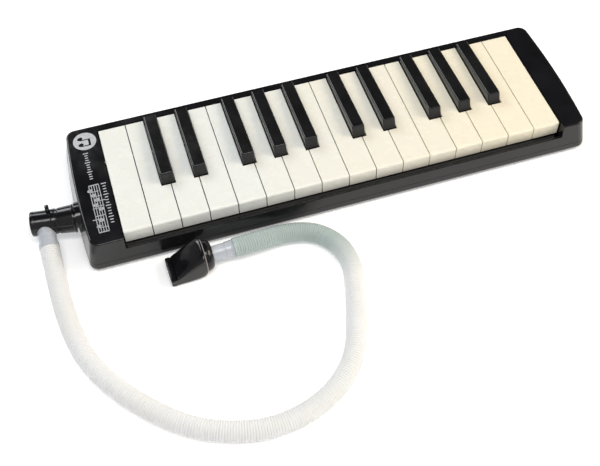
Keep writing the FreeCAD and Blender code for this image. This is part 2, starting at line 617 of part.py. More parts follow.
def screw(name, x, y, length):
    """A pan-head screw put in from below, with a cross cut in its head."""
    head = rod(
        name + "_head", x, y, "Sizes.foot_height - Sizes.screw_head_height", "Sizes.screw_head_radius",
        "Sizes.screw_head_height",
    )
    shank = rod(name + "_shank", x, y, "Sizes.foot_height - 0.2", "Sizes.screw_radius", f"{length} + 0.2")
    reach = "(1.3 * Sizes.screw_radius)"
    slots = [
        box(
            f"{name}_slot_{turn}", f"{x} - {half_x}", f"{y} - {half_y}", "Sizes.foot_height - Sizes.screw_head_height",
            f"2 * {half_x}", f"2 * {half_y}", "Sizes.screw_head_height / 2",
        )
        for turn, half_x, half_y in (("a", reach, "Sizes.slot_width / 2"), ("b", "Sizes.slot_width / 2", reach))
    ]
    return cut(name, fuse(name + "_blank", head, shank), *slots)


def feet_and_screws():
    """Four rubber feet, the screws that close the casing and those that hold the chamber down."""
    foot_x = f"({HALF_LENGTH} - Sizes.foot_inset_x)"
    foot_y = f"({HALF_DEPTH} - Sizes.foot_inset_y)"
    feet = [
        cone(
            f"foot_{number}", side_x + foot_x, side_y + foot_y, "0", "Sizes.foot_radius - 0.6", "Sizes.foot_radius",
            "Sizes.foot_height",
        )
        for number, (side_x, side_y) in enumerate([(x, y) for x in ("-", "") for y in ("-", "")])
    ]
    node("rubber_feet", group("feet", feet))
    case_screws = [
        screw(f"case_screw_{number}", x, y, "Sizes.case_screw_length") for number, (x, y) in enumerate(POSTS)
    ]
    node("case_screws", group("case_screw_set", case_screws))
    chamber_screws = [
        screw(f"chamber_screw_{number}", x, y, "Sizes.chamber_screw_length")
        for number, (x, y) in enumerate(CHAMBER_POSTS)
    ]
    node("chamber_screws", group("chamber_screw_set", chamber_screws))


lower_case()
upper_case()
feet_and_screws()


# Wind chamber.

BOSS_HOLES = [("Sizes.screw_radius + Sizes.screw_clearance", x, y) for x, y in CHAMBER_POSTS]


def bosses(name, base, height):
    """The round lugs that the chamber's screws pass through, in front of it and inside its back wall."""
    lugs = []
    for number, (x, y) in enumerate(CHAMBER_POSTS):
        lug = rod(f"{name}_boss_{number}", x, y, base, "Sizes.boss_radius", height)
        wall_y = CHAMBER_FRONT if number < len(CHAMBER_POSTS_X) else CHAMBER_REAR
        web_y = FRONT_POST_Y if number < len(CHAMBER_POSTS_X) else REAR_POST_Y
        web = box(
            f"{name}_web_{number}", f"{x} - Sizes.boss_radius", web_y, base, "2 * Sizes.boss_radius",
            f"{wall_y} - {web_y}", height,
        )
        lugs += [lug, web]
    return lugs


def boss_holes(name, base, height):
    return [
        rod(f"{name}_boss_hole_{number}", x, y, base, radius, height)
        for number, (radius, x, y) in enumerate(BOSS_HOLES)
    ]


def wind_chamber():
    """An open tray under the valve board. It takes wind from the duct through a port in its left end."""
    long, deep = CHAMBER_LONG, "Sizes.chamber_depth"
    outer = box("tray_outer", CHAMBER_LEFT, CHAMBER_FRONT, FLOOR_TOP, long, deep, "Sizes.tray_height")
    hollow = box(
        "tray_hollow", f"{CHAMBER_LEFT} + Sizes.tray_wall", f"{CHAMBER_FRONT} + Sizes.tray_wall",
        f"{FLOOR_TOP} + Sizes.tray_floor", f"{long} - 2 * Sizes.tray_wall", f"{deep} - 2 * Sizes.tray_wall",
        "Sizes.tray_height",
    )
    seat = rod(
        "drain_seat", DRAIN_X, DRAIN_Y, f"{FLOOR_TOP} + 0.2", "Sizes.drain_seal_radius + 0.6",
        f"{DRAIN_SEAT} - {FLOOR_TOP} - 0.2",
    )
    body = fuse("tray_body", cut("tray_shell", outer, hollow), seat, *bosses("tray", FLOOR_TOP, "Sizes.tray_height"))
    drain_hole = rod(
        "drain_hole", DRAIN_X, DRAIN_Y, "Sizes.foot_height", "Sizes.drain_stem_radius + 0.8", f"{TRAY_TOP}",
    )
    drain_pocket = rod(
        "drain_pocket", DRAIN_X, DRAIN_Y, "Sizes.foot_height", "Sizes.drain_button_radius + Sizes.drain_clearance",
        "Sizes.floor_wall + Sizes.drain_pocket",
    )
    holes = boss_holes("tray", "0", f"{TRAY_TOP} + 1")
    node("wind_chamber", cut("tray_cut", body, wind_port("tray"), drain_hole, drain_pocket, *holes))

    frame = box("gasket_frame", CHAMBER_LEFT, CHAMBER_FRONT, TRAY_TOP, long, deep, "Sizes.gasket_thickness")
    window = box(
        "gasket_window", f"{CHAMBER_LEFT} + Sizes.tray_wall", f"{CHAMBER_FRONT} + Sizes.tray_wall",
        f"{TRAY_TOP} - 1", f"{long} - 2 * Sizes.tray_wall", f"{deep} - 2 * Sizes.tray_wall",
        "Sizes.gasket_thickness + 2",
    )
    lugs = bosses("gasket", TRAY_TOP, "Sizes.gasket_thickness")
    seal = fuse("gasket_body", cut("gasket_ring", frame, window), *lugs)
    node("chamber_gasket", cut("gasket_cut", seal, *boss_holes("gasket", TRAY_TOP, "Sizes.gasket_thickness")))


def wind_port(name):
    """The slot that joins the duct to the chamber."""
    return box(
        name + "_port", f"{CHAMBER_LEFT} - 1.5 * Sizes.duct_wall", PORT_FRONT,
        f"{FLOOR_TOP} + Sizes.tray_floor + 0.2", "2 * Sizes.tray_wall + 2 * Sizes.duct_wall", "Sizes.port_width",
        "Sizes.port_height",
    )


PORT_FRONT = f"({CHAMBER_FRONT} + 5)"
VALVES = valve_centres()


def valve_board():
    """A thick board with a cell over each reed and a slot up from each cell, which a key's pad closes."""
    block = box(
        "board_block", CHAMBER_LEFT, CHAMBER_FRONT, BOARD_BASE, CHAMBER_LONG, "Sizes.chamber_depth",
        "Sizes.board_thickness",
    )
    body = fuse("board_body", block, *bosses("board", BOARD_BASE, "Sizes.board_thickness"))
    cells = [
        box(
            f"cell_{number}", f"{x} - Sizes.cell_width / 2", CELL_FRONT, f"{BOARD_BASE} - 1", "Sizes.cell_width",
            "Sizes.cell_length", "Sizes.cell_depth + 1",
        )
        for number, x in enumerate(VALVES)
    ]
    slots = [
        box(
            f"valve_{number}", f"{x} - Sizes.valve_width / 2", f"{CELL_REAR} - Sizes.valve_length", BOARD_BASE,
            "Sizes.valve_width", "Sizes.valve_length", "Sizes.board_thickness + 1",
        )
        for number, x in enumerate(VALVES)
    ]
    holes = boss_holes("board", "0", f"Sizes.foot_height + Sizes.chamber_screw_length + 1")
    node("valve_board", cut("board_cut", body, *cells, *slots, *holes, *plate_screw_holes()))


def reed_length(x):
    """Reeds shorten evenly from the low end of the row to the high end."""
    share = f"(({x} - {KEY_LEFT}) / ({KEY_RIGHT} - {KEY_LEFT}))"
    return f"(Sizes.reed_long + (Sizes.reed_short - Sizes.reed_long) * {share})"


PLATES = {
    "low": (f"({KEY_LEFT} + 0.5)", f"({PLATE_MIDDLE} - Sizes.plate_joint / 2)"),
    "high": (f"({PLATE_MIDDLE} + Sizes.plate_joint / 2)", f"({KEY_RIGHT} - 0.5)"),
}
REED_FRONT = f"({CELL_FRONT} + Sizes.reed_root)"
PLATE_SCREWS_Y = [
    f"({PLATE_FRONT} + Sizes.plate_screw_inset)",
    f"({PLATE_FRONT} + Sizes.plate_length - Sizes.plate_screw_inset)",
]


def plate_screws_x():
    """Each plate's screws stand near its ends and its middle, in the walls between cells."""
    order = sorted(VALVES, key=value)
    walls = [f"(({left} + {right}) / 2)" for left, right in zip(order, order[1:])]
    return [walls[number] for number in (0, 5, 11, 13, 18, 24)]


def plate_screw_holes():
    return [
        rod(f"plate_hole_{row}_{number}", x, y, "0", "Sizes.plate_screw_radius", f"{BOARD_BASE} + 3")
        for row, y in enumerate(PLATE_SCREWS_Y)
        for number, x in enumerate(plate_screws_x())
    ]


def reeds():
    """Two brass plates under the board, with a tongue riveted under each slot and screws up into the board."""
    middle = value(PLATE_MIDDLE)
    for name, (left, right) in PLATES.items():
        members = [
            (number, x) for number, x in enumerate(VALVES) if (value(x) < middle) == (name == "low")
        ]
        sheet_metal = box(
            f"plate_{name}", left, PLATE_FRONT, PLATE_BASE, f"{right} - {left}", "Sizes.plate_length",
            "Sizes.plate_thickness",
        )
        slots = [
            box(
                f"reed_slot_{number}", f"{x} - Sizes.reed_width / 2 - Sizes.reed_clearance", REED_FRONT,
                f"{PLATE_BASE} - 1", "Sizes.reed_width + 2 * Sizes.reed_clearance", reed_length(x),
                "Sizes.plate_thickness + 2",
            )
            for number, x in members
        ]
        rivet_holes = [
            rod(f"rivet_hole_{number}", x, RIVET_Y, "0", "Sizes.rivet_radius", f"{BOARD_BASE} + 1")
            for number, x in members
        ]
        low, high = value(left), value(right)
        screw_holes = [
            rod(f"{name}_screw_hole_{row}_{number}", x, y, "0", "Sizes.plate_screw_radius", f"{BOARD_BASE} + 1")
            for row, y in enumerate(PLATE_SCREWS_Y)
            for number, x in enumerate(plate_screws_x())
            if low < value(x) < high
        ]
        node(f"reed_plate_{name}", cut(f"plate_{name}_cut", sheet_metal, *slots, *rivet_holes, *screw_holes))
    tongues = [
        cut(
            f"tongue_{number}",
            box(
                f"tongue_strip_{number}", f"{x} - Sizes.reed_width / 2", f"{RIVET_Y} - 1.5",
                f"{PLATE_BASE} - Sizes.reed_thickness", "Sizes.reed_width",
                f"{REED_FRONT} - {RIVET_Y} + 1.5 + {reed_length(x)} - Sizes.reed_clearance", "Sizes.reed_thickness",
            ),
            rod(f"tongue_hole_{number}", x, RIVET_Y, "0", "Sizes.rivet_radius", BOARD_BASE),
        )
        for number, x in enumerate(VALVES)
    ]
    node("reed_tongues", group("tongues", tongues))
    rivets = [
        fuse(
            f"rivet_{number}",
            rod(
                f"rivet_shank_{number}", x, RIVET_Y, f"{PLATE_BASE} - Sizes.reed_thickness - 0.1",
                "Sizes.rivet_radius", "Sizes.plate_thickness + Sizes.reed_thickness + 0.1",
            ),
            rod(
                f"rivet_head_{number}", x, RIVET_Y, f"{PLATE_BASE} - Sizes.reed_thickness - Sizes.rivet_head",
                "Sizes.rivet_head_radius", "Sizes.rivet_head",
            ),
        )
        for number, x in enumerate(VALVES)
    ]
    node("reed_rivets", group("rivets", rivets))
    screws = [
        fuse(
            f"plate_screw_{row}_{number}",
            rod(
                f"plate_shank_{row}_{number}", x, y, f"{PLATE_BASE} - 0.2", "Sizes.plate_screw_radius",
                "Sizes.plate_thickness + 3.0",
            ),
            rod(f"plate_head_{row}_{number}", x, y, f"{PLATE_BASE} - 0.9", "Sizes.plate_screw_head", "0.9"),
        )
        for row, y in enumerate(PLATE_SCREWS_Y)
        for number, x in enumerate(plate_screws_x())
    ]
    node("reed_plate_screws", group("plate_screw_set", screws))


RIVET_Y = f"({REED_FRONT} - 1.8)"
wind_chamber()
valve_board()
reeds()


def duct_and_socket():
    """The duct in the left cheek, and the socket in the casing's left wall that the elbow plugs into."""
    left = f"({CHAMBER_LEFT} - Sizes.duct_from_chamber)"
    front = f"({SOCKET_Y} - {SOCKET_RADIUS} - Sizes.duct_margin)"
    deep = f"({PORT_FRONT} + Sizes.port_width + Sizes.duct_margin - {front})"
    high = f"({ROOF} - Sizes.duct_roof_gap - {FLOOR_TOP})"
    wall = "Sizes.duct_wall"
    outer = box("duct_outer", left, front, FLOOR_TOP, "Sizes.duct_from_chamber", deep, high)
    hollow = box(
        "duct_hollow", f"{left} + {wall}", f"{front} + {wall}", f"{FLOOR_TOP} + {wall}",
        f"Sizes.duct_from_chamber - 2 * {wall}", f"{deep} - 2 * {wall}", f"{high} - 2 * {wall}",
    )
    bore = rod(
        "duct_inlet", f"{left} - 1", SOCKET_Y, "Sizes.socket_height", f"{SOCKET_RADIUS} + Sizes.fit_gap",
        f"{wall} + 2", ALONG_X,
    )
    node("wind_duct", cut("duct_cut", outer, hollow, bore, wind_port("duct")))

    flange = rod(
        "socket_flange", SOCKET_X, SOCKET_Y, "Sizes.socket_height", f"{SOCKET_RADIUS} + Sizes.socket_lip",
        "Sizes.socket_flange + 4", ALONG_X,
    )
    barrel = rod(
        "socket_barrel", SOCKET_X, SOCKET_Y, "Sizes.socket_height", SOCKET_RADIUS,
        f"{left} + {wall} - {SOCKET_X}", ALONG_X,
    )
    bush = fuse("socket_bush", cut("socket_flange_fit", flange, OUTER), barrel)
    through = rod(
        "socket_bore", f"{SOCKET_X} - 1", SOCKET_Y, "Sizes.socket_height", "Sizes.bore_radius",
        f"{left} + {wall} - {SOCKET_X} + 2", ALONG_X,
    )
    node("blow_socket", cut("socket_cut", bush, through))


duct_and_socket()


# Key action: axle, brackets, springs and felts.


def key_action():
    """The axle that all keys swing on, its brackets, a leaf spring under each key and the felts that stop them."""
    axle_left = f"({KEY_LEFT} - Sizes.opening_gap + 0.2)"
    axle_right = f"({KEY_RIGHT} + Sizes.opening_gap - 0.2)"
    node(
        "key_axle",
        rod("axle", axle_left, PIVOT_Y, AXLE_Z, "Sizes.axle_radius", f"{axle_right} - {axle_left}", ALONG_X),
    )
    brackets = []
    for number in (0, 3, 7, 11, 15):
        x = VALVES[number]
        post = box(
            f"bracket_post_{number}", f"{x} - Sizes.bracket_width / 2", f"{PIVOT_Y} - Sizes.bracket_depth / 2",
            BOARD_TOP, "Sizes.bracket_width", "Sizes.bracket_depth", "Sizes.axle_height + Sizes.bracket_head",
        )
        eye = rod(
            f"bracket_eye_{number}", f"{x} - Sizes.bracket_width", PIVOT_Y, AXLE_Z,
            "Sizes.axle_radius + Sizes.axle_clearance", "2 * Sizes.bracket_width", ALONG_X,
        )
        brackets.append(cut(f"bracket_{number}", post, eye))
    node("axle_brackets", group("bracket_set", brackets))

    foot_y = f"({CHAMBER_FRONT} - 1)"
    rise = f"(Sizes.white_top - Sizes.key_top_wall - {BOARD_TOP} - 0.4)"
    tilt = f"atan({rise} / Sizes.spring_reach)"
    springs = []
    for number, x in enumerate(VALVES):
        leaf_x = f"{x} - Sizes.spring_width / 2"
        foot = box(
            f"spring_foot_{number}", leaf_x, foot_y, BOARD_TOP, "Sizes.spring_width", "Sizes.spring_foot",
            "Sizes.spring_thickness",
        )
        leaf = doc.addObject("Part::Box", f"spring_leaf_{number}")
        leaf.Placement = Placement(Vector(), Rotation(Vector(1, 0, 0), 180 - value(tilt)))
        bind(
            leaf,
            {
                "Length": "Sizes.spring_width",
                "Width": f"sqrt({rise}^2 + Sizes.spring_reach^2)",
                "Height": "Sizes.spring_thickness",
            },
        )
        place(leaf, leaf_x, f"{foot_y} + 0.1", f"{BOARD_TOP} + Sizes.spring_thickness")
        springs.append(fuse(f"spring_{number}", foot, leaf))
    node("key_springs", group("spring_set", springs))
    felts = [
        box(
            f"{name}_felt", KEY_LEFT, start, f"{top} - Sizes.felt_thickness", f"{KEY_RIGHT} - {KEY_LEFT}", width,
            "Sizes.felt_thickness",
        )
        for name, (start, width, top) in FELTS.items()
    ]
    node("key_felts", group("felts", felts))


key_action()


def drain_valve():
    """A button under the right end that lifts a seal off its seat and lets water out of the chamber."""
    head = rod("drain_head", DRAIN_X, DRAIN_Y, DRAIN_BASE, "Sizes.drain_button_radius", "Sizes.drain_button_height")
    stem = rod(
        "drain_stem", DRAIN_X, DRAIN_Y, f"{DRAIN_BASE} + 0.5", "Sizes.drain_stem_radius",
        f"{DRAIN_SEAT} + Sizes.drain_seal_height - {DRAIN_BASE} - 0.5",
    )
    node("drain_button", fuse("drain_button_body", head, stem))
    disc = rod("seal_disc", DRAIN_X, DRAIN_Y, DRAIN_SEAT, "Sizes.drain_seal_radius", "Sizes.drain_seal_height")
    eye = rod(
        "seal_eye", DRAIN_X, DRAIN_Y, f"{DRAIN_SEAT} - 1", "Sizes.drain_stem_radius", "Sizes.drain_seal_height + 2"
    )
    node("drain_seal", cut("seal_cut", disc, eye))
    spring_base = f"({DRAIN_SEAT} + Sizes.drain_seal_height + Sizes.drain_wire)"
    coil = doc.addObject("Part::Helix", "drain_coil")
    coil_height = f"({BOARD_BASE} - Sizes.drain_wire - {spring_base})"
    bind(coil, {"Pitch": f"{coil_height} / 2", "Height": coil_height, "Radius": "Sizes.drain_spring_radius"})
    place(coil, DRAIN_X, DRAIN_Y, spring_base)
    wire = doc.addObject("Part::Circle", "drain_wire")
    wire.Placement = Placement(Vector(), Rotation(Vector(1, 0, 0), 90))
    bind(wire, {"Radius": "Sizes.drain_wire * 0.8"})
    place(wire, f"{DRAIN_X} + Sizes.drain_spring_radius", DRAIN_Y, spring_base)
    spring = doc.addObject("Part::Sweep", "drain_sweep")
    spring.Sections = [wire]
    spring.Spine = (coil, [])
    spring.Solid = True
    spring.Frenet = True
    node("drain_spring", spring)


drain_valve()


# Elbow, hose and mouthpiece.


def elbow():
    """The elbow: a plug for the socket, a tapered neck, a closed barrel and a spigot towards the player."""
    z = "Sizes.socket_height"
    flange = rod(
        "elbow_flange", NECK_X, SOCKET_Y, z, "Sizes.neck_collar_radius", "Sizes.neck_collar", ALONG_MINUS_X
    )
    neck = cone(
        "elbow_neck", NECK_X, SOCKET_Y, z, "Sizes.neck_root_radius", "Sizes.neck_end_radius", "Sizes.neck_length",
        ALONG_MINUS_X,
    )
    barrel = rod(
        "elbow_barrel", f"{BARREL_X} + 1", SOCKET_Y, z, "Sizes.barrel_radius", "Sizes.barrel_length + 1",
        ALONG_MINUS_X,
    )
    doc.recompute()
    end_x = value(f"{BARREL_X} - Sizes.barrel_length")
    rounded = doc.addObject("Part::Fillet", "elbow_end")
    rounded.Base = barrel
    radius = value("Sizes.barrel_round")
    rounded.Edges = [
        (number, radius, radius)
        for number, edge in enumerate(barrel.Shape.Edges, start=1)
        if edge.BoundBox.XMax < end_x + 0.01
    ]
    plug = rod("elbow_plug", f"{NECK_X} - 1", SOCKET_Y, z, PLUG_RADIUS, "Sizes.plug_length + 1", ALONG_X)
    spigot = spigot_rod("elbow_spigot", "0", "Sizes.spigot_radius", "Sizes.spigot_reach")
    tab = box(
        "elbow_tab", f"{SPIGOT_X} - 2.4", f"{SOCKET_Y} + Sizes.barrel_radius - Sizes.tab_depth - 3", z,
        "Sizes.tab_width", "Sizes.tab_depth", "Sizes.barrel_radius + Sizes.tab_height - 1.5",
    )
    collar = rod(
        "elbow_collar", f"{SPIGOT_X} + 1.2", SOCKET_Y, z, "Sizes.barrel_radius + 0.35", "4.4", ALONG_MINUS_X,
    )
    bore = rod(
        "elbow_bore", f"{BARREL_X} - Sizes.barrel_length + 2.5", SOCKET_Y, z, "Sizes.elbow_bore",
        "Sizes.barrel_length + Sizes.neck_length + Sizes.plug_length", ALONG_X,
    )
    spigot_bore = spigot_rod("elbow_spigot_bore", "0", "Sizes.spigot_bore", "Sizes.spigot_reach + 1")
    body = fuse("elbow_body", rounded, flange, neck, plug, spigot, tab, collar)
    groove_x = f"({NECK_X} + Sizes.plug_length - 4)"
    groove = cut(
        "elbow_groove",
        rod("groove_outer", f"{groove_x} - Sizes.ring_radius", SOCKET_Y, z, f"{PLUG_RADIUS} + 1",
            "2 * Sizes.ring_radius", ALONG_X),
        rod("groove_inner", f"{groove_x} - 1", SOCKET_Y, z, f"{PLUG_RADIUS} - Sizes.ring_depth", "3", ALONG_X),
    )
    node("elbow_connector", cut("elbow_cut", body, bore, spigot_bore, groove))
    ring = doc.addObject("Part::Torus", "seal_ring")
    ring.Placement = Placement(Vector(), ALONG_X)
    bind(
        ring,
        {
            "Radius1": f"{PLUG_RADIUS} - Sizes.ring_depth + Sizes.ring_radius",
            "Radius2": "Sizes.ring_radius - 0.01",
        },
    )
    place(ring, groove_x, SOCKET_Y, z)
    node("socket_o_ring", ring)


def spigot_rod(name, start, radius, end, end_radius=None):
    """A round piece on the spigot's axis, which dips towards the player, between two distances along it."""
    dip = "Sizes.spigot_dip"
    turn = Rotation(Vector(1, 0, 0), 90 + value(dip))
    y = f"{SOCKET_Y} - ({start}) * cos({dip})"
    z = f"Sizes.socket_height - ({start}) * sin({dip})"
    length = f"({end}) - ({start})"
    if end_radius:
        return cone(name, SPIGOT_X, y, z, radius, end_radius, length, turn)
    return rod(name, SPIGOT_X, y, z, radius, length, turn)


def elbow_sleeve():
    """The soft sleeve over the spigot: a cuff that fits round the barrel, a lip and a nose inside the hose."""
    start, end = "Sizes.sleeve_root", "Sizes.sleeve_reach"
    cuff = spigot_rod("sleeve_cuff", start, "Sizes.sleeve_radius - 0.3", f"{end} - 0.5", "Sizes.sleeve_radius + 0.2")
    lip = spigot_rod("sleeve_lip", f"{end} - Sizes.sleeve_lip", "Sizes.sleeve_lip_radius", end)
    nose = spigot_rod("sleeve_nose", f"{end} - 1", NOSE_RADIUS, f"{end} + Sizes.sleeve_nose")
    bore = spigot_rod("sleeve_bore", "0", "Sizes.spigot_radius", f"{end} + Sizes.sleeve_nose + 1")
    barrel = rod(
        "sleeve_saddle", f"{BARREL_X} + 5", SOCKET_Y, "Sizes.socket_height", "Sizes.barrel_radius + 0.35",
        "Sizes.barrel_length + 20", ALONG_MINUS_X,
    )
    node("elbow_sleeve", cut("sleeve_cut", fuse("sleeve_body", cuff, lip, nose), bore, barrel))


elbow()
elbow_sleeve()

CORNER = Vector(-value(HALF_LENGTH), -value(HALF_DEPTH), 0)
MOUTH_TURN = math.radians(value("Sizes.mouth_turn"))
MOUTH_AXIS = Vector(math.cos(MOUTH_TURN), math.sin(MOUTH_TURN), 0)
MOUTH_END = CORNER + Vector(value("Sizes.mouth_x"), value("Sizes.mouth_y"), value("Sizes.mouth_height"))


def spigot_point(distance):
    """A point on the spigot's axis."""
    dip = math.radians(value("Sizes.spigot_dip"))
    return Vector(
        value(SPIGOT_X),
        value(SOCKET_Y) - distance * math.cos(dip),
        value("Sizes.socket_height") - distance * math.sin(dip),
    )


def hose_path():
    """Straight runs joined by tangent arcs, each arc as large as the shorter of its two runs allows."""
    straight = value("Sizes.sleeve_reach")
    hose_end = MOUTH_END + MOUTH_AXIS * value("Sizes.mouth_sleeve_length")
    points = [spigot_point(straight), spigot_point(2 * straight)]
    points += [CORNER + Vector(*step) for step in ROUTE]
    points += [hose_end + MOUTH_AXIS * 19, hose_end]
    edges, radii, start = [], [], points[0]
    for before, corner, after in zip(points, points[1:], points[2:]):
        back, ahead = before - corner, after - corner
        turn = math.pi - back.getAngle(ahead)
        reach = 0.45 * min(back.Length, ahead.Length)
        radii.append(reach / math.tan(turn / 2))
        entry = corner + back * (reach / back.Length)
        leave = corner + ahead * (reach / ahead.Length)
        inward = back * (1 / back.Length) + ahead * (1 / ahead.Length)
        inward.normalize()
        to_centre = math.hypot(radii[-1], reach)
        middle = corner + inward * (to_centre - radii[-1])
        edges += [Part.LineSegment(start, entry).toShape(), Part.Arc(entry, middle, leave).toShape()]
        start = leave
    edges.append(Part.LineSegment(start, points[-1]).toShape())
    print("hose bend radii:", [round(radius) for radius in radii])
    return Part.Wire(edges)


def hose():
    """The hose, an open tube along its path."""
    path = hose_path()
    first = path.OrderedEdges[0]
    start = first.Vertexes[0].Point
    direction = first.Vertexes[1].Point - start
    solids = []
    for radius in (value("Sizes.hose_radius"), value(HOSE_BORE)):
        section = Part.Wire([Part.Circle(start, direction, radius).toShape()])
        solids.append(path.makePipeShell([section], True, True))
    tube = solids[0].cut(solids[1])
    area = math.pi * (value("Sizes.hose_radius") ** 2 - value(HOSE_BORE) ** 2)
    print("hose length:", round(path.Length, 1), "volume over section times length:", tube.Volume / area / path.Length)
    item = doc.addObject("Part::Feature", "hose_tube")
    item.Shape = tube.Solids[0]
    item.Placement = Placement()
    node("hose", item)


hose()

MOUTH_LEFT = f"(-{HALF_LENGTH} + Sizes.mouth_x)"
MOUTH_FRONT = f"(-{HALF_DEPTH} + Sizes.mouth_y)"
TO_HOSE = Rotation(Vector(0, 0, 1), math.degrees(MOUTH_TURN)).multiply(ALONG_X)


def mouth_point(along, rise="0"):
    """A point on the mouthpiece's axis, as expressions, a distance along it towards the hose."""
    x = f"{MOUTH_LEFT} + ({along}) * cos(Sizes.mouth_turn)"
    y = f"{MOUTH_FRONT} + ({along}) * sin(Sizes.mouth_turn)"
    return x, y, f"Sizes.mouth_height + {rise}"


def mouth_rod(name, start, radius, end):
    return rod(name, *mouth_point(start), radius, f"({end}) - ({start})", TO_HOSE)


def mouth_sleeve():
    """The stepped tube that joins the hose to the mouthpiece."""
    length = "Sizes.mouth_sleeve_length"
    collar = mouth_rod(
        "mouth_collar", f"{length} - Sizes.mouth_collar_length", "Sizes.mouth_collar + 0.3", f"{length}"
    )
    tube = mouth_rod("mouth_tube", "-Sizes.mouth_plug", "Sizes.mouth_tube", length)
    nose = mouth_rod("mouth_nose", f"{length} - 1", NOSE_RADIUS, f"{length} + Sizes.sleeve_nose")
    bore = mouth_rod(
        "mouth_sleeve_bore", "-Sizes.mouth_plug - 1", "Sizes.mouth_tube_bore", f"{length} + Sizes.sleeve_nose + 1"
    )
    node("mouth_sleeve", cut("mouth_sleeve_cut", fuse("mouth_sleeve_body", collar, tube, nose), bore))


def section(name, along, half_width, half_height, drop="0"):
    """One section of the mouthpiece, across its axis and lowered by a drop: an ellipse, or a circle of one radius."""
    across = Rotation(Vector(0, 0, 1), math.degrees(MOUTH_TURN)).multiply(Rotation(Vector(1, 1, 1), 120))
    if half_height:
        outline = doc.addObject("Part::Ellipse", name)
        bind(outline, {"MajorRadius": half_width, "MinorRadius": half_height})
    else:
        outline = doc.addObject("Part::Circle", name)
        bind(outline, {"Radius": half_width})
    outline.Placement = Placement(Vector(), across)
    return place(outline, *mouth_point(along, f"(-({drop}))"))


def loft(name, sections):
    solid = doc.addObject("Part::Loft", name)
    solid.Sections = sections
    solid.Solid = True
    solid.Ruled = True
    return solid


def mouthpiece():
    """A beak: round and domed where it takes the sleeve, flat and lipped where it is held between the lips."""
    full = "Sizes.mouth_round"
    drop = "(Sizes.mouth_round - Sizes.tip_height / 2 - 0.3)"
    thin = "(Sizes.tip_height / 2 - Sizes.neck_thin)"
    half_tip = "Sizes.tip_width / 2"
    length = "Sizes.mouth_length"
    profile = [
        ("0", f"{full} - Sizes.dome_round", None, "0"),
        ("-Sizes.mouth_dome * 0.4", f"{full} - Sizes.dome_round * 0.35", None, "0"),
        ("-Sizes.mouth_dome", full, None, "0"),
        (f"-{length} * 0.38", f"{full} - 0.05", f"{full} * 0.93", f"{full} * 0.06"),
        (f"-{length} * 0.62", f"{full} - 0.2", f"{full} * 0.64", f"{full} * 0.34"),
        (f"-{length} + 1.2 * Sizes.tip_lip", half_tip, thin, drop),
        (f"-{length} + 0.9 * Sizes.tip_lip", half_tip, "Sizes.tip_height / 2", drop),
        (f"-{length} + 0.25 * Sizes.tip_lip", half_tip, "Sizes.tip_height / 2", drop),
        (f"-{length}", f"{half_tip} - 0.5", "Sizes.tip_height / 2 - 0.5", drop),
    ]
    body = loft("mouth_loft", [section(f"mouth_section_{number}", *row) for number, row in enumerate(profile)])
    seat = mouth_rod("mouth_seat", "-Sizes.mouth_plug - 0.5", "Sizes.mouth_tube + Sizes.mouth_clearance", "1")
    throat = loft(
        "mouth_throat",
        [
            section("throat_start", "-Sizes.mouth_plug", "Sizes.mouth_tube_bore", None),
            section(
                "throat_end", f"-{length} - 0.5", "Sizes.mouth_slot_width / 2", "Sizes.mouth_slot_height / 2", drop
            ),
        ],
    )
    node("mouthpiece", cut("mouthpiece_cut", body, seat, throat))


mouth_sleeve()
mouthpiece()
doc.recompute()

failed = [item.Name for item in doc.Objects if "Invalid" in item.State or "Error" in item.State]
broken = [item.Label for item in nodes if item.Shape.isNull() or not item.Shape.isValid() or not item.Shape.Solids]
if failed or broken:
    raise RuntimeError(f"failed objects: {failed}, broken sub-parts: {broken}")
os.makedirs("parts", exist_ok=True)
for item in nodes:
    item.Shape.exportStep(f"parts/{item.Label}.step")
print(len(nodes), "sub-parts")
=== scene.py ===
"""The looks of a melodica and its ribbed hose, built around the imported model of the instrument."""

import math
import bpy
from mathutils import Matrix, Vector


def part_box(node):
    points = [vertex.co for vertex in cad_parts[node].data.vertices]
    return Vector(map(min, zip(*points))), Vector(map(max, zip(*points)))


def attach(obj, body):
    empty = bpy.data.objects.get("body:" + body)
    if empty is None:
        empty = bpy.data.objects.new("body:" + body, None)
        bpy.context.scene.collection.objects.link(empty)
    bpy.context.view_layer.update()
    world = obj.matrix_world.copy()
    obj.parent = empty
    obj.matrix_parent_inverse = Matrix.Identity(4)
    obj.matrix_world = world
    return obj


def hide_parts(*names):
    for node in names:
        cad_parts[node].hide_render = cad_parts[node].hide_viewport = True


bl_info = {
    "name": "Melodica",
    "version": (1, 0, 0),
    "blender": (4, 5, 0),
    "location": "View3D > Sidebar > Melodica",
    "description": "Builds the finishes, the hose and the fittings of a melodica, and its stage",
    "category": "Object",
}

import bmesh
import bpy
from bpy.props import FloatProperty, FloatVectorProperty, IntProperty, PointerProperty
from bpy.types import Operator, Panel, PropertyGroup
from mathutils import Matrix, Vector

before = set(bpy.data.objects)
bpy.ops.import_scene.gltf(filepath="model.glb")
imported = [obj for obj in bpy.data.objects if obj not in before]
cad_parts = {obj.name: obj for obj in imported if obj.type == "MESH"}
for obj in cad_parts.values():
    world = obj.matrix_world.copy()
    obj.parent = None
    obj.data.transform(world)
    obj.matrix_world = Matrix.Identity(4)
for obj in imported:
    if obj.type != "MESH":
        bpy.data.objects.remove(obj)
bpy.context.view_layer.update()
MM = 0.001
LOW, HIGH = 0, 1
SHARP_ANGLE = math.radians(32)

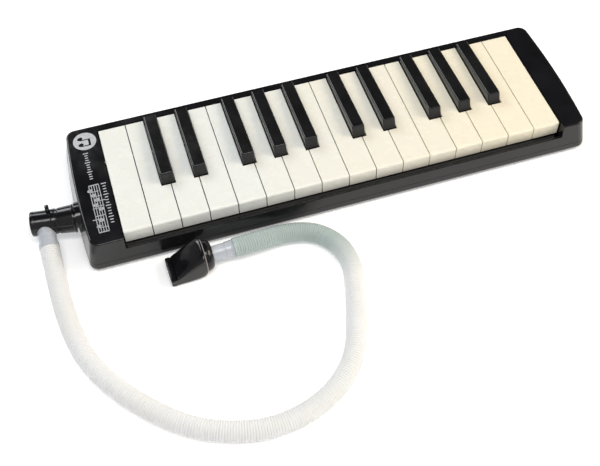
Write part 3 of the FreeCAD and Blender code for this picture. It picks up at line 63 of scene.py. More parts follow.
# The hose's route from the elbow's sleeve to the mouthpiece's sleeve, in metres.
HOSE_ROUTE = (
    (-0.2080, -0.0331, 0.0113), (-0.2080, -0.0527, 0.0072), (-0.2071, -0.0795, 0.0070), (-0.2042, -0.1040, 0.0070),
    (-0.1981, -0.1265, 0.0070), (-0.1858, -0.1482, 0.0070), (-0.1692, -0.1684, 0.0070), (-0.1503, -0.1861, 0.0070),
    (-0.1276, -0.1981, 0.0070), (-0.1020, -0.2041, 0.0070), (-0.0770, -0.2014, 0.0070), (-0.0530, -0.1905, 0.0070),
    (-0.0355, -0.1720, 0.0070), (-0.0263, -0.1480, 0.0070), (-0.0198, -0.1260, 0.0070), (-0.0146, -0.1056, 0.0070),
    (-0.0181, -0.0859, 0.0070), (-0.0315, -0.0712, 0.0070), (-0.0505, -0.0671, 0.0076), (-0.0695, -0.0703, 0.0113),
    (-0.0885, -0.0708, 0.0113),
)
# Where the fittings stand: the elbow's own axis, the spigot that leaves it and the mouthpiece's round end.
ELBOW_START = Vector((-0.18598, -0.0160, 0.0155))
ELBOW_TURNS = ((-12.8, 0.0), (0.0, 0.0), (2.0, 5.0), (12.2, 8.0), (40.0, 8.0))
SPIGOT_START = Vector((-0.20800, -0.01355, 0.0155))
SPIGOT_DIP = math.radians(12)
MOUTH_START = Vector((-0.1035, -0.0712, 0.0113))
MOUTH_TURN = math.radians(1.5)


# What a user would change.


def colour(name, description, default):
    return FloatVectorProperty(
        name=name, description=description, subtype="COLOR", size=3, min=0, max=1, default=default
    )


def length(name, description, default):
    return FloatProperty(name=name, description=description, default=default, min=0, subtype="DISTANCE", unit="LENGTH")


class HoseSizes(PropertyGroup):
    radius: length("Hose radius", "Outside radius of the hose at the middle of its ribs", 6.65 * MM)
    wall: length("Hose wall", "Thickness of the hose's wall", 1.05 * MM)
    rib_pitch: length("Rib pitch", "Distance from one rib to the next along the hose", 1.65 * MM)
    rib_height: length("Rib height", "How far a rib stands out of the hose", 0.5 * MM)
    segments: IntProperty(name="Segments", description="Facets round the hose", default=36, min=12, max=96)


class FittingSizes(PropertyGroup):
    segments: IntProperty(name="Segments", description="Facets round each turned fitting", default=64, min=16, max=128)


class FinishColours(PropertyGroup):
    casing: colour("Casing", "Moulded plastic of the casing", (0.0062, 0.0062, 0.0074))
    ivory: colour("White keys", "Moulded plastic of the low white keys", (0.80, 0.81, 0.775))
    # The high keys' warmer, yellower colour is painted warm light from the lamp on that side.
    painted_warm_tint: colour("Warm painted white keys", "Moulded plastic of the high white keys, painted warmer for the warm light on that side", (0.86, 0.795, 0.64))
    ebony: colour("Black keys", "Moulded plastic of the black keys", (0.0085, 0.0083, 0.0086))
    hose: colour("Hose", "Soft plastic of the hose", (0.80, 0.80, 0.80))
    sleeve: colour("Sleeves", "Clear soft plastic of the two sleeves", (0.76, 0.80, 0.86))
    print: colour("Print", "Silver print on the left cheek", (0.52, 0.53, 0.55))
    floor: colour("Floor", "Surface that the instrument lies on", (0.95, 0.95, 0.95))


class StageSettings(PropertyGroup):
    lens: FloatProperty(name="Lens", description="Focal length of the camera in millimetres", default=58.35, min=10)
    window: FloatProperty(name="Window light", description="Power of the cool light from the left", default=13, min=0)
    lamp: FloatProperty(name="Lamp light", description="Power of the warm light from the right", default=11, min=0)
    top: FloatProperty(name="Top light", description="Power of the light over the player's side", default=9, min=0)
    fill: FloatProperty(name="Fill light", description="Brightness of the light from all sides", default=0.44, min=0)


SETTINGS = {
    "melodica_hose": HoseSizes,
    "melodica_fittings": FittingSizes,
    "melodica_colours": FinishColours,
    "melodica_stage": StageSettings,
}


# Finishes.


class Finish:
    """A material that is put together from nodes around one shader."""

    def __init__(self, name, **sockets):
        self.material = bpy.data.materials.new(name)
        self.material.use_nodes = True
        self.tree = self.material.node_tree
        self.tree.nodes.clear()
        self.shader = self.node("ShaderNodeBsdfPrincipled")
        output = self.node("ShaderNodeOutputMaterial")
        self.link(self.shader.outputs["BSDF"], output.inputs["Surface"])
        self.place = self.node("ShaderNodeTexCoord").outputs["Object"]
        for socket, value in sockets.items():
            self.shader.inputs[socket.replace("_", " ")].default_value = value

    def node(self, kind, **settings):
        made = self.tree.nodes.new(kind)
        for name, value in settings.items():
            setattr(made, name, value)
        return made

    def link(self, source, target):
        """Joins an output to an input, or sets the input where the source is a plain value."""
        if isinstance(source, bpy.types.NodeSocket):
            self.tree.links.new(source, target)
        else:
            target.default_value = source

    def stretched(self, x, y, z):
        """The place on the piece, with each axis scaled."""
        mapping = self.node("ShaderNodeMapping")
        self.link(self.place, mapping.inputs["Vector"])
        mapping.inputs["Scale"].default_value = (x, y, z)
        return mapping.outputs["Vector"]

    def noise(self, scale, detail=3.0, roughness=0.55, place=None):
        noise = self.node("ShaderNodeTexNoise")
        self.link(place or self.place, noise.inputs["Vector"])
        noise.inputs["Scale"].default_value = scale
        noise.inputs["Detail"].default_value = detail
        noise.inputs["Roughness"].default_value = roughness
        return noise.outputs["Fac"]

    def remap(self, value, start, end, low, high):
        """Turns a stretch of a value into another, and holds it at both ends."""
        remap = self.node("ShaderNodeMapRange")
        for socket, setting in zip(("Value", "From Min", "From Max", "To Min", "To Max"), (value, start, end, low, high)):
            self.link(setting, remap.inputs[socket])
        return remap.outputs["Result"]

    def math(self, operation, first, second):
        node = self.node("ShaderNodeMath", operation=operation)
        self.link(first, node.inputs[0])
        self.link(second, node.inputs[1])
        return node.outputs["Value"]

    def blend(self, share, first, second):
        """One colour fading into another."""
        mix = self.node("ShaderNodeMix", data_type="RGBA")
        self.link(share, mix.inputs["Factor"])
        for value, socket in ((first, mix.inputs[6]), (second, mix.inputs[7])):
            self.link(value if isinstance(value, bpy.types.NodeSocket) else (*value, 1), socket)
        return mix.outputs[2]

    def bump(self, height, strength, distance, below=None):
        bump = self.node("ShaderNodeBump")
        bump.inputs["Strength"].default_value = strength
        bump.inputs["Distance"].default_value = distance
        self.link(height, bump.inputs["Height"])
        if below:
            self.link(below, bump.inputs["Normal"])
        return bump.outputs["Normal"]

    def finish(self, base=None, roughness=None, normal=None, **others):
        """Joins what was worked out to the shader and gives the material."""
        for socket, value in (("Base Color", base), ("Roughness", roughness), ("Normal", normal), *others.items()):
            if value is not None:
                self.link(value, self.shader.inputs[socket])
        return self.material


def shade(tint, factor):
    """A colour made lighter or darker."""
    return tuple(min(1.0, part * factor) for part in tint)


def moulded_gloss(name, tint, low=0.11, high=0.24, scuffs=0.08):
    """Polished moulded plastic: faint swirls, handling marks, hairline scratches and a trace of dust."""
    finish = Finish(name, **{"Specular_IOR_Level": 0.42, "IOR": 1.5})
    swirl = finish.noise(38, 4)
    base = finish.blend(finish.remap(swirl, 0.35, 0.7, 0, 1), shade(tint, 0.8), shade(tint, 1.5))
    dust = finish.remap(finish.noise(2400, 2), 0.74, 0.82, 0, 0.1)
    base = finish.blend(dust, base, (0.12, 0.12, 0.12))
    marks = finish.remap(finish.noise(55, 5, 0.6), 0.42, 0.68, low, high)
    hair = finish.noise(1, 2, 0.5, finish.stretched(2600, 90, 400))
    cross = finish.noise(1, 2, 0.5, finish.stretched(110, 2800, 400))
    scratch = finish.remap(finish.math("MAXIMUM", hair, cross), 0.68, 0.76, 0, scuffs)
    roughness = finish.math("ADD", marks, scratch)
    ripple = finish.bump(finish.noise(45, 2), 0.08, 0.0005)
    skin = finish.bump(finish.noise(1500, 3), 0.05, 0.0001, ripple)
    return finish.finish(base, roughness, finish.bump(scratch, 0.15, 0.00004, skin))


def key_ivory(name, tint):
    """Warm white key plastic: slightly see-through, polished on top, a little yellower in patches."""
    finish = Finish(
        name,
        **{
            "Subsurface_Weight": 0.12, "Subsurface_Radius": (1.0, 0.8, 0.55), "Subsurface_Scale": 0.0025,
            "Specular_IOR_Level": 0.45, "IOR": 1.5,
        },
    )
    patch = finish.remap(finish.noise(14, 3), 0.35, 0.68, 0, 1)
    base = finish.blend(patch, tint, (tint[0] * 0.996, tint[1] * 0.992, tint[2] * 0.975))
    flow = finish.noise(1, 3, 0.5, finish.stretched(160, 26, 160))
    base = finish.blend(finish.remap(flow, 0.45, 0.75, 0, 0.1), base, shade(tint, 0.95))
    wear = finish.remap(finish.noise(70, 5, 0.6), 0.4, 0.7, 0.2, 0.38)
    scratch = finish.remap(finish.noise(1, 2, 0.5, finish.stretched(2400, 120, 400)), 0.68, 0.78, 0, 0.12)
    roughness = finish.math("ADD", wear, scratch)
    ripple = finish.bump(finish.noise(60, 2), 0.08, 0.0005)
    return finish.finish(base, roughness, finish.bump(finish.noise(1300, 3), 0.05, 0.0001, ripple))


def hose_plastic(name, tint):
    """Milky soft plastic that lets some light through, with a painted shadow of the casing, darker and greener, on its
    stretch near the mouthpiece.
    """
    finish = Finish(
        name,
        **{
            "Subsurface_Weight": 0.3, "Subsurface_Radius": (1.0, 0.9, 0.75), "Subsurface_Scale": 0.0025,
            "Specular_IOR_Level": 0.4, "IOR": 1.46,
        },
    )
    cloud = finish.remap(finish.noise(30, 3), 0.35, 0.7, 0, 1)
    base = finish.blend(cloud, tint, (tint[0] * 0.975, tint[1] * 0.97, tint[2] * 0.95))
    # Painted shadow of the casing: the stretch of hose near the casing and the mouthpiece is coloured darker and
    # greener.
    split = finish.node("ShaderNodeSeparateXYZ")
    finish.link(finish.place, split.inputs["Vector"])
    upper = finish.remap(split.outputs["Y"], -0.118, -0.084, 0, 1)
    right = finish.remap(split.outputs["X"], -0.16, -0.12, 0, 1)
    casing_shadow = finish.math("MULTIPLY", finish.math("MULTIPLY", upper, right), 0.85)
    base = finish.blend(casing_shadow, base, (0.33, 0.41, 0.395))
    grime = finish.remap(finish.noise(240, 4, 0.6), 0.62, 0.8, 0, 0.08)
    base = finish.blend(grime, base, shade(tint, 0.72))
    roughness = finish.remap(finish.noise(160, 3), 0.3, 0.7, 0.36, 0.5)
    return finish.finish(base, roughness, finish.bump(finish.noise(900, 2), 0.05, 0.0001))


def sleeve_plastic(name, tint):
    """Bluish clear soft plastic, hazy and slightly rippled."""
    finish = Finish(
        name,
        **{
            "Transmission_Weight": 0.45, "IOR": 1.42, "Subsurface_Weight": 0.35,
            "Subsurface_Radius": (0.8, 0.95, 1.0), "Subsurface_Scale": 0.002, "Specular_IOR_Level": 0.6,
            "Coat_Weight": 0.5, "Coat_Roughness": 0.08,
        },
    )
    haze = finish.remap(finish.noise(60, 3), 0.35, 0.7, 0, 1)
    base = finish.blend(haze, shade(tint, 0.95), shade(tint, 1.05))
    roughness = finish.remap(finish.noise(120, 3), 0.3, 0.7, 0.28, 0.42)
    return finish.finish(base, roughness, finish.bump(finish.noise(200, 2), 0.04, 0.0002))


def silver_ink_and_painted_highlight(name, tint):
    """Silver ink, also used for the painted highlight on the mouthpiece's rim: slightly speckled, with patches of
    wear.
    """
    finish = Finish(name, Metallic=0.35, **{"Specular_IOR_Level": 0.4})
    wear_and_highlight = finish.remap(finish.noise(900, 4, 0.7), 0.35, 0.75, 0, 1)
    base = finish.blend(wear_and_highlight, shade(tint, 1.12), shade(tint, 0.7))
    roughness = finish.remap(finish.noise(1600, 2), 0.3, 0.7, 0.38, 0.6)
    return finish.finish(base, roughness, finish.bump(finish.noise(2600, 2), 0.2, 0.00004))


def matte_plastic(name, tint):
    """Unpolished inner moulding with a fine grain."""
    finish = Finish(name, **{"Specular_IOR_Level": 0.35})
    base = finish.blend(finish.remap(finish.noise(90, 4), 0.35, 0.7, 0, 1), shade(tint, 0.85), shade(tint, 1.2))
    roughness = finish.remap(finish.noise(700, 3), 0.3, 0.7, 0.5, 0.72)
    return finish.finish(base, roughness, finish.bump(finish.noise(1600, 4), 0.3, 0.00012))


def soft_rubber(name, tint):
    """Dull rubber, dusty in its pores."""
    finish = Finish(name, **{"Specular_IOR_Level": 0.3})
    dust = finish.remap(finish.noise(480, 5, 0.7), 0.5, 0.75, 0, 0.4)
    base = finish.blend(dust, tint, shade(tint, 2.0))
    roughness = finish.remap(finish.noise(350, 3), 0.3, 0.7, 0.68, 0.9)
    return finish.finish(base, roughness, finish.bump(finish.noise(1900, 4), 0.35, 0.0001))


def worked_metal(name, tint, low, high, along):
    """Rolled or turned metal with fine lines along one axis and dull spots."""
    finish = Finish(name, Metallic=1.0)
    lines = finish.noise(1, 3, 0.6, finish.stretched(*along))
    spots = finish.remap(finish.noise(260, 4, 0.6), 0.5, 0.72, 0, 1)
    base = finish.blend(finish.remap(lines, 0.3, 0.7, 0, 1), shade(tint, 0.85), shade(tint, 1.08))
    base = finish.blend(finish.math("MULTIPLY", spots, 0.5), base, shade(tint, 0.6))
    roughness = finish.math("ADD", finish.remap(lines, 0.3, 0.7, low, high), finish.math("MULTIPLY", spots, 0.1))
    return finish.finish(base, roughness, finish.bump(lines, 0.15, 0.00005))


def key_felt(name, tint):
    """Pressed wool felt: short fibres and a soft sheen."""
    finish = Finish(name, **{"Sheen_Weight": 0.6, "Sheen_Roughness": 0.5, "Specular_IOR_Level": 0.1})
    fibre = finish.noise(1, 5, 0.7, finish.stretched(700, 2300, 1500))
    base = finish.blend(finish.remap(fibre, 0.3, 0.7, 0, 1), shade(tint, 0.6), shade(tint, 1.35))
    return finish.finish(base, 0.95, finish.bump(fibre, 0.6, 0.0003))


def table_top(name, tint):
    """A plain pale surface with the faintest mottling."""
    finish = Finish(
        name, Roughness=0.9, **{"Specular_IOR_Level": 0.05, "Emission_Color": (1, 1, 1, 1), "Emission_Strength": 0.26}
    )
    return finish.finish(finish.blend(finish.remap(finish.noise(3, 3), 0.3, 0.7, 0, 1), shade(tint, 0.995), tint))


def give(thing, material):
    """Puts one material on an object."""
    thing.data.materials.clear()
    thing.data.materials.append(material)


# Shapes.


def new_piece(name, mesh, material, body, replaces=(), smooth=True):
    """Turns a finished bmesh into a piece that rides on a body and stands for the nodes it replaces."""
    if smooth:
        for face in mesh.faces:
            face.smooth = True
        for edge in mesh.edges:
            edge.smooth = len(edge.link_faces) != 2 or edge.calc_face_angle(0) < SHARP_ANGLE
    data = bpy.data.meshes.new(name)
    mesh.to_mesh(data)
    mesh.free()
    piece = bpy.data.objects.new(name, data)
    bpy.context.scene.collection.objects.link(piece)
    give(piece, material)
    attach(piece, body)
    if replaces:
        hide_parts(*replaces)
    return piece


def turned(profile, segments, mesh=None):
    """A closed solid of revolution about X, from a closed profile of (distance along X, radius) pairs."""
    mesh = mesh or bmesh.new()
    ring = [mesh.verts.new((along, 0, radius)) for along, radius in profile]
    edges = [mesh.edges.new((start, end)) for start, end in zip(ring, ring[1:] + ring[:1])]
    bmesh.ops.spin(
        mesh, geom=ring + edges, cent=(0, 0, 0), axis=(1, 0, 0), angle=2 * math.pi, steps=segments, use_merge=True
    )
    return mesh


def rounded(profile, radius, steps=3):
    """A closed profile with each corner cut to an arc. A corner given with a third number takes that radius."""
    count = len(profile)
    result = []
    for number, corner in enumerate(profile):
        here = Vector(corner[:2])
        size = corner[2] if len(corner) > 2 else radius
        before = Vector(profile[number - 1][:2]) - here
        after = Vector(profile[(number + 1) % count][:2]) - here
        turn = before.angle(after, math.pi)
        reach = min(size / max(math.tan(turn / 2), 1e-4), 0.45 * before.length, 0.45 * after.length)
        if size <= 0 or reach < 1e-6:
            result.append(tuple(here))
            continue
        start, end = here + before.normalized() * reach, here + after.normalized() * reach
        for step in range(steps + 1):
            share = step / steps
            point = start * (1 - share) ** 2 + here * 2 * share * (1 - share) + end * share**2
            result.append(tuple(point))
    return result


def in_metres(profile):
    return [tuple(part * MM for part in corner) for corner in profile]


def settle(mesh):
    """Merges doubles and turns every face outwards."""
    bmesh.ops.remove_doubles(mesh, verts=mesh.verts, dist=1e-7)
    bmesh.ops.recalc_face_normals(mesh, faces=mesh.faces)


def mouth_place():
    """The frame of the mouthpiece: its X runs from the hose to the lips."""
    return Matrix.Translation(MOUTH_START) @ Matrix.Rotation(MOUTH_TURN + math.pi, 4, "Z")


def elbow_line():
    """The line that the elbow's plug, neck and barrel are strung on, from inside the casing outwards."""
    here = ELBOW_START + Vector((-ELBOW_TURNS[0][0] * MM, 0, 0))
    line = [here]
    for (start, turn), (end, following) in zip(ELBOW_TURNS, ELBOW_TURNS[1:]):
        facing = math.radians((turn + following) / 2)
        here = here + Vector((-math.cos(facing), math.sin(facing), 0)) * (end - start) * MM
        line.append(here)
    return line


def spigot_place():
    """The frame of the spigot: its X runs from the elbow's axis to the hose."""
    facing = Matrix.Rotation(-math.pi / 2, 4, "Z") @ Matrix.Rotation(SPIGOT_DIP, 4, "Y")
    return Matrix.Translation(SPIGOT_START) @ facing


# Hose.


def hose_curve():
    """The hose's own line, a smooth spline through the run of its route."""
    data = bpy.data.curves.new("hose_line", "CURVE")
    data.dimensions = "3D"
    data.resolution_u = 40
    spline = data.splines.new("NURBS")
    spline.points.add(len(HOSE_ROUTE) - 1)
    for point, place in zip(spline.points, HOSE_ROUTE):
        point.co = (*place, 1)
    spline.order_u = 3
    spline.use_endpoint_u = True
    return data


def hose_line():
    """Points along the hose's line, read from its spline."""
    data = hose_curve()
    holder = bpy.data.objects.new("hose_line", data)
    bpy.context.scene.collection.objects.link(holder)
    bpy.context.view_layer.update()
    line = bpy.data.meshes.new_from_object(holder.evaluated_get(bpy.context.evaluated_depsgraph_get()))
    points = [vertex.co.copy() for vertex in line.vertices]
    bpy.data.objects.remove(holder)
    bpy.data.curves.remove(data)
    bpy.data.meshes.remove(line)
    return points


class Path:
    """A line of points that a straight shape can be bent along."""

    def __init__(self, points):
        self.points = points
        self.reach = [0.0]
        for start, end in zip(points, points[1:]):
            self.reach.append(self.reach[-1] + (end - start).length)
        self.length = self.reach[-1]
        ahead = [(end - start).normalized() for start, end in zip(points, points[1:])]
        self.ahead = [ahead[0]] + [(a + b).normalized() for a, b in zip(ahead, ahead[1:])] + [ahead[-1]]
        up = Vector((0, 0, 1))
        self.up = []
        for direction in self.ahead:
            up = (up - direction * up.dot(direction)).normalized()
            self.up.append(up)

    def at(self, along, start=0):
        """Where a distance along the line is, with the directions ahead and up there."""
        number = start
        while number < len(self.reach) - 2 and self.reach[number + 1] < along:
            number += 1
        share = (along - self.reach[number]) / (self.reach[number + 1] - self.reach[number])
        place = self.points[number].lerp(self.points[number + 1], share)
        ahead = self.ahead[number].lerp(self.ahead[number + 1], share).normalized()
        up = self.up[number].lerp(self.up[number + 1], share)
        return place, ahead, (up - ahead * up.dot(ahead)).normalized(), number


def bend(mesh, path):
    """Bends a mesh that lies along X onto a path."""
    rings = {}
    for vertex in mesh.verts:
        rings.setdefault(round(vertex.co.x, 7), []).append(vertex)
    number = 0
    for along in sorted(rings):
        place, ahead, up, number = path.at(along, number)
        side = up.cross(ahead)
        for vertex in rings[along]:
            vertex.co = place + side * vertex.co.y + up * vertex.co.z


class MELODICA_OT_hose(Operator):
    """Builds the ribbed hose along its route"""

    bl_idname = "melodica.hose"
    bl_label = "Hose"

    def execute(self, context):
        sizes, tints = context.scene.melodica_hose, context.scene.melodica_colours
        points = hose_line()
        path = Path(points)
        count = round((path.length - 4 * MM) / sizes.rib_pitch)
        pitch = (path.length - 4 * MM) / count
        # Each rib is a rounded crest with a narrow groove before it. The hose ends in plain cuffs.
        crest = ((0.0, 0.0), (0.16, 0.62), (0.36, 1.0), (0.64, 1.0), (0.84, 0.62))
        outside = [(0, sizes.radius), (1.8 * MM, sizes.radius)]
        for rib in range(count):
            for share, rise in crest:
                radius = sizes.radius - sizes.rib_height * (0.55 - rise)
                outside.append((2 * MM + (rib + share) * pitch, radius))
        outside += [(path.length - 1.8 * MM, sizes.radius), (path.length, sizes.radius)]
        bore = sizes.radius - sizes.wall
        steps = 220
        inside = [(path.length * (1 - step / steps), bore) for step in range(steps + 1)]
        mesh = turned(outside + inside, sizes.segments)
        bend(mesh, path)
        settle(mesh)
        hose = new_piece(
            "hose_ribbed", mesh, hose_plastic("hose_milky_plastic", tints.hose), "elbow", ("hose",)
        )
        return {"FINISHED"}


# Fittings.


class MELODICA_OT_sleeves(Operator):
    """Builds the two clear sleeves that join the hose to the elbow and to the mouthpiece"""

    bl_idname = "melodica.sleeves"
    bl_label = "Sleeves"

    def execute(self, context):
        sizes, tints = context.scene.melodica_fittings, context.scene.melodica_colours
        material = sleeve_plastic("sleeve_clear_plastic", tints.sleeve)
        # Both profiles run from the fitting to the hose, outside first and back along the bore.
        elbow_profile = [
            (5, 6.1, 0), (9.6, 6.15), (10.0, 6.45), (11.4, 6.5), (11.8, 6.2), (16.4, 6.35), (17.0, 6.95), (19.6, 7.05),
            (20, 6.7), (20, 5.5, 0), (26, 5.4), (26, 4.7), (5, 4.7, 0),
        ]
        mouth_profile = [
            (-14.95, 5.5, 0), (-14.95, 5.9), (-13.6, 5.95), (-13.3, 5.7), (-9.6, 5.65), (-9.3, 5.25), (-0.2, 5.2),
            (8, 5.2), (8, 4.1), (-20.5, 4.1), (-20.5, 5.4),
        ]
        for name, profile, place, node in (
            ("elbow_sleeve_clear", elbow_profile, spigot_place(), "elbow_sleeve"),
            ("mouth_sleeve_clear", mouth_profile, mouth_place(), "mouth_sleeve"),
        ):
            mesh = turned(in_metres(rounded(profile, 0.3)), sizes.segments)
            mesh.transform(place)
            settle(mesh)
            new_piece(name, mesh, material, "elbow", (node,))
        return {"FINISHED"}


class MELODICA_OT_elbow(Operator):
    """Builds the elbow: its plug, collar, neck, barrel, band, tab and spigot"""

    bl_idname = "melodica.elbow"
    bl_label = "Elbow"

    def execute(self, context):
        sizes, tints = context.scene.melodica_fittings, context.scene.melodica_colours
        # Distances run from the casing outwards, from the face of the collar.
        body = [
            (-12.8, 5.5), (-12.8, 7.1), (-12.2, 7.42), (0.9, 7.42, 0), (0.9, 10.15), (1.9, 10.15, 0.4),
            (2.2, 9.8, 0.3), (11.5, 9.1, 0.4), (12.2, 8.7, 0.3), (13.6, 8.67, 0), (13.9, 8.95, 0.3), (16.4, 8.95, 0.3),
            (16.7, 8.65, 0), (28.3, 8.6, 0), (28.5, 8.75, 0.2), (30.5, 8.7, 0.7), (30.95, 7.6, 0.4), (30.3, 7.2, 0.3),
            (30.3, 1.2, 0.4), (29.8, 0.9, 0), (28.3, 0.9, 0), (28.3, 5.5, 0),
        ]
        mesh = turned(in_metres(rounded(body, 0.35)), sizes.segments)
        mesh.transform(Matrix.Translation((-ELBOW_TURNS[0][0] * MM, 0, 0)))
        bend(mesh, Path(elbow_line()))
        settle(mesh)
        spigot = [(6, 3.4), (18, 3.4), (18, 4.45), (17.4, 4.65), (6, 4.65)]
        pipe = turned(in_metres(rounded(spigot, 0.2)), sizes.segments // 2)
        settle(pipe)
        pipe.transform(spigot_place())
        tab = bmesh.new()
        bmesh.ops.create_cube(tab, size=1, matrix=Matrix.Diagonal((2.7 * MM, 4.6 * MM, 13.0 * MM, 1)))
        bmesh.ops.bevel(
            tab, geom=tab.edges[:], offset=0.55 * MM, segments=3, affect="EDGES", profile=0.5, material=-1,
            clamp_overlap=True,
        )
        tab.transform(Matrix.Translation(SPIGOT_START + Vector((4.6, 2.9, 5.9)) * MM))
        for part in (pipe, tab):
            scrap = bpy.data.meshes.new("elbow_part")
            part.to_mesh(scrap)
            part.free()
            mesh.from_mesh(scrap)
            bpy.data.meshes.remove(scrap)
        new_piece(
            "elbow_turned", mesh, moulded_gloss("elbow_gloss_black", tints.casing), "elbow",
            ("elbow_connector",),
        )
        return {"FINISHED"}


def superellipse(angle, half_wide, half_high, squareness):
    """A point of a rounded rectangle that becomes an ellipse at squareness 2."""
    across, upwards = math.cos(angle), math.sin(angle)
    grow = (abs(across) ** squareness + abs(upwards) ** squareness) ** (-1 / squareness)
    return across * grow * half_wide, upwards * grow * half_high


class MELODICA_OT_mouthpiece(Operator):
    """Builds the mouthpiece: a domed round end that flattens into a lipped beak, with its throat"""

    bl_idname = "melodica.mouthpiece"
    bl_label = "Mouthpiece"

    def execute(self, context):
        sizes, tints = context.scene.melodica_fittings, context.scene.melodica_colours
        # Rings from the hose to the lips and back down the throat, in millimetres from the round end:
        # distance, half width, half height, height of the middle, squareness.
        rings = (
            (0.0, 5.45, 5.45, 0, 2), (0.0, 7.6, 7.6, 0, 2), (0.25, 8.3, 8.3, 0, 2), (0.9, 9.2, 9.2, 0, 2),
            (1.9, 10.05, 10.05, 0, 2), (3.1, 10.65, 10.65, 0, 2), (4.6, 10.93, 10.93, 0, 2), (5.3, 10.95, 10.95, 0, 2),
            (5.5, 10.6, 10.6, 0, 2), (5.9, 10.6, 10.6, 0, 2.2), (6.1, 10.97, 10.95, 0, 2.6),
            (6.7, 11.0, 10.95, -0.05, 3.4), (7.6, 11.0, 10.8, -0.2, 4.6), (9.0, 11.0, 10.3, -0.7, 6),
            (11.5, 10.98, 9.3, -1.6, 8), (15.5, 10.9, 7.75, -3.0, 10), (20.5, 10.75, 5.8, -4.9, 12),
            (24.8, 10.6, 4.1, -6.5, 12), (26.9, 10.5, 3.2, -7.4, 12), (27.5, 10.45, 2.8, -7.9, 12),
            (27.9, 10.45, 2.8, -7.9, 12), (28.2, 10.52, 3.25, -7.6, 12), (28.9, 10.52, 3.3, -7.6, 12),
            (30.7, 10.48, 3.2, -7.65, 12), (31.25, 10.3, 2.95, -7.7, 12), (31.5, 9.8, 2.5, -7.7, 12),
            (31.5, 6.9, 1.5, -7.7, 7), (31.2, 6.5, 1.2, -7.7, 7), (24.0, 6.2, 1.5, -6.6, 5), (15.0, 5.2, 3.2, -3.0, 3),
            (8.6, 4.2, 4.2, 0, 2), (8.5, 5.25, 5.25, 0, 2), (0.3, 5.25, 5.25, 0, 2),
        )
        rim = (
            (5.45, 10.2, 10.2, 0, 2), (5.55, 10.95, 10.95, 0, 2.1), (5.7, 11.12, 11.1, 0, 2.2),
            (5.95, 11.12, 11.1, 0, 2.4), (6.1, 10.95, 10.95, 0, 2.5), (6.2, 10.2, 10.2, 0, 2.5),
        )
        gloss = moulded_gloss("mouthpiece_gloss_black", tints.casing)
        # The rim's pale pinkish grey is a painted highlight: it stands in for the bright line of light along the edge
        # between the dome and the beak.
        wear_and_highlight = silver_ink_and_painted_highlight("mouthpiece_rim_painted_highlight", (0.42, 0.36, 0.37))
        for name, table, material, replaced in (
            ("mouthpiece_beak", rings, gloss, ("mouthpiece",)), ("mouthpiece_rim", rim, wear_and_highlight, ()),
        ):
            # A straight shell first, with the number of its ring as each point's place along X.
            mesh = turned([(number, 1.0) for number in range(len(table))], sizes.segments)
            for vertex in mesh.verts:
                along, wide, high, middle, squareness = table[round(vertex.co.x)]
                across, upwards = superellipse(math.atan2(vertex.co.z, vertex.co.y), wide, high, squareness)
                vertex.co = Vector((along, across, upwards + middle)) * MM
            mesh.transform(mouth_place())
            settle(mesh)
            new_piece(name, mesh, material, "mouthpiece", replaced)
        return {"FINISHED"}


# Casing, keys and works.


def add_bar(mesh, centre, size):
    """A thin printed bar, with its corners taken off."""
    made = bmesh.ops.create_cube(mesh, size=1, matrix=Matrix.Translation(centre) @ Matrix.Diagonal((*size, 1)))
    upright = [edge for edge in mesh.edges if edge.verts[0] in made["verts"] and abs(edge.verts[0].co.z - edge.verts[1].co.z) > size.z / 2]
    bmesh.ops.bevel(
        mesh, geom=upright, offset=min(size.x, size.y) * 0.3, segments=2, affect="EDGES", profile=0.5, material=-1
    )


def add_disc(mesh, centre, radius, squash=1.0, turn=0.0, hole=0.0):
    """A printed disc, ring or oval."""
    thick = PRINT_THICKNESS
    outline = [(-thick / 2, radius), (thick / 2, radius), (thick / 2, hole), (-thick / 2, hole)]
    part = bmesh.new()
    if hole:
        turned(outline, 40, part)
    else:
        bmesh.ops.create_cone(
            part, cap_ends=True, segments=40, radius1=radius, radius2=radius, depth=thick,
            matrix=Matrix.Rotation(math.pi / 2, 4, "Y"),
        )
    settle(part)
    upright = Matrix.Rotation(-math.pi / 2, 4, "Y")
    part.transform(
        Matrix.Translation(centre) @ Matrix.Rotation(turn, 4, "Z") @ Matrix.Diagonal((1, squash, 1, 1)) @ upright
    )
    scrap = bpy.data.meshes.new("print_part")
    part.to_mesh(scrap)
    part.free()
    mesh.from_mesh(scrap)
    bpy.data.meshes.remove(scrap)


PRINT_THICKNESS = 0.04 * MM


def cheek_print(height):
    """The silver print on the left cheek: a disc, a stave with its notes, and rows of ticks."""
    mesh = bmesh.new()

    def at(x, y):
        return Vector((x * MM, y * MM, height + PRINT_THICKNESS / 2))

    def bar(x, y, wide, deep):
        add_bar(mesh, at(x, y), Vector((wide * MM, deep * MM, PRINT_THICKNESS)))

    add_disc(mesh, at(-168.2, 40.3), 8.3 * MM)
    # A stave of five lines down the cheek, with a bar line at each end and notes between.
    for line in range(5):
        bar(-172.6 + line * 1.7, -22.5, 0.5, 42.0)
    for y in (-1.6, -29.2, -43.4):
        bar(-169.2, y, 7.3, 0.8)
    for number, (y, line, up) in enumerate(
        ((-6.2, 0, 1), (-10.6, 1.0, 1), (-15.0, 2.0, 1), (-19.4, 1.0, 1), (-23.8, 3.0, -1), (-33.4, 2.0, -1), (-38.0, 0.5, 1))
    ):
        x = -172.6 + line * 1.7
        add_disc(mesh, at(x, y), 1.7 * MM, squash=0.78, turn=0.35)
        bar(x + up * 3.0, y - up * 1.4, 5.6, 0.6)
    # Small ticks like the marks of a rule, on both sides of the stave.
    for number in range(15):
        bar(-162.4, -2.0 - number * 2.5, 2.4 if number % 4 else 3.6, 0.8)
    for number in range(12):
        bar(-169.6, 28.6 - number * 2.2, 2.4 if number % 4 else 3.8, 0.8)
    return mesh


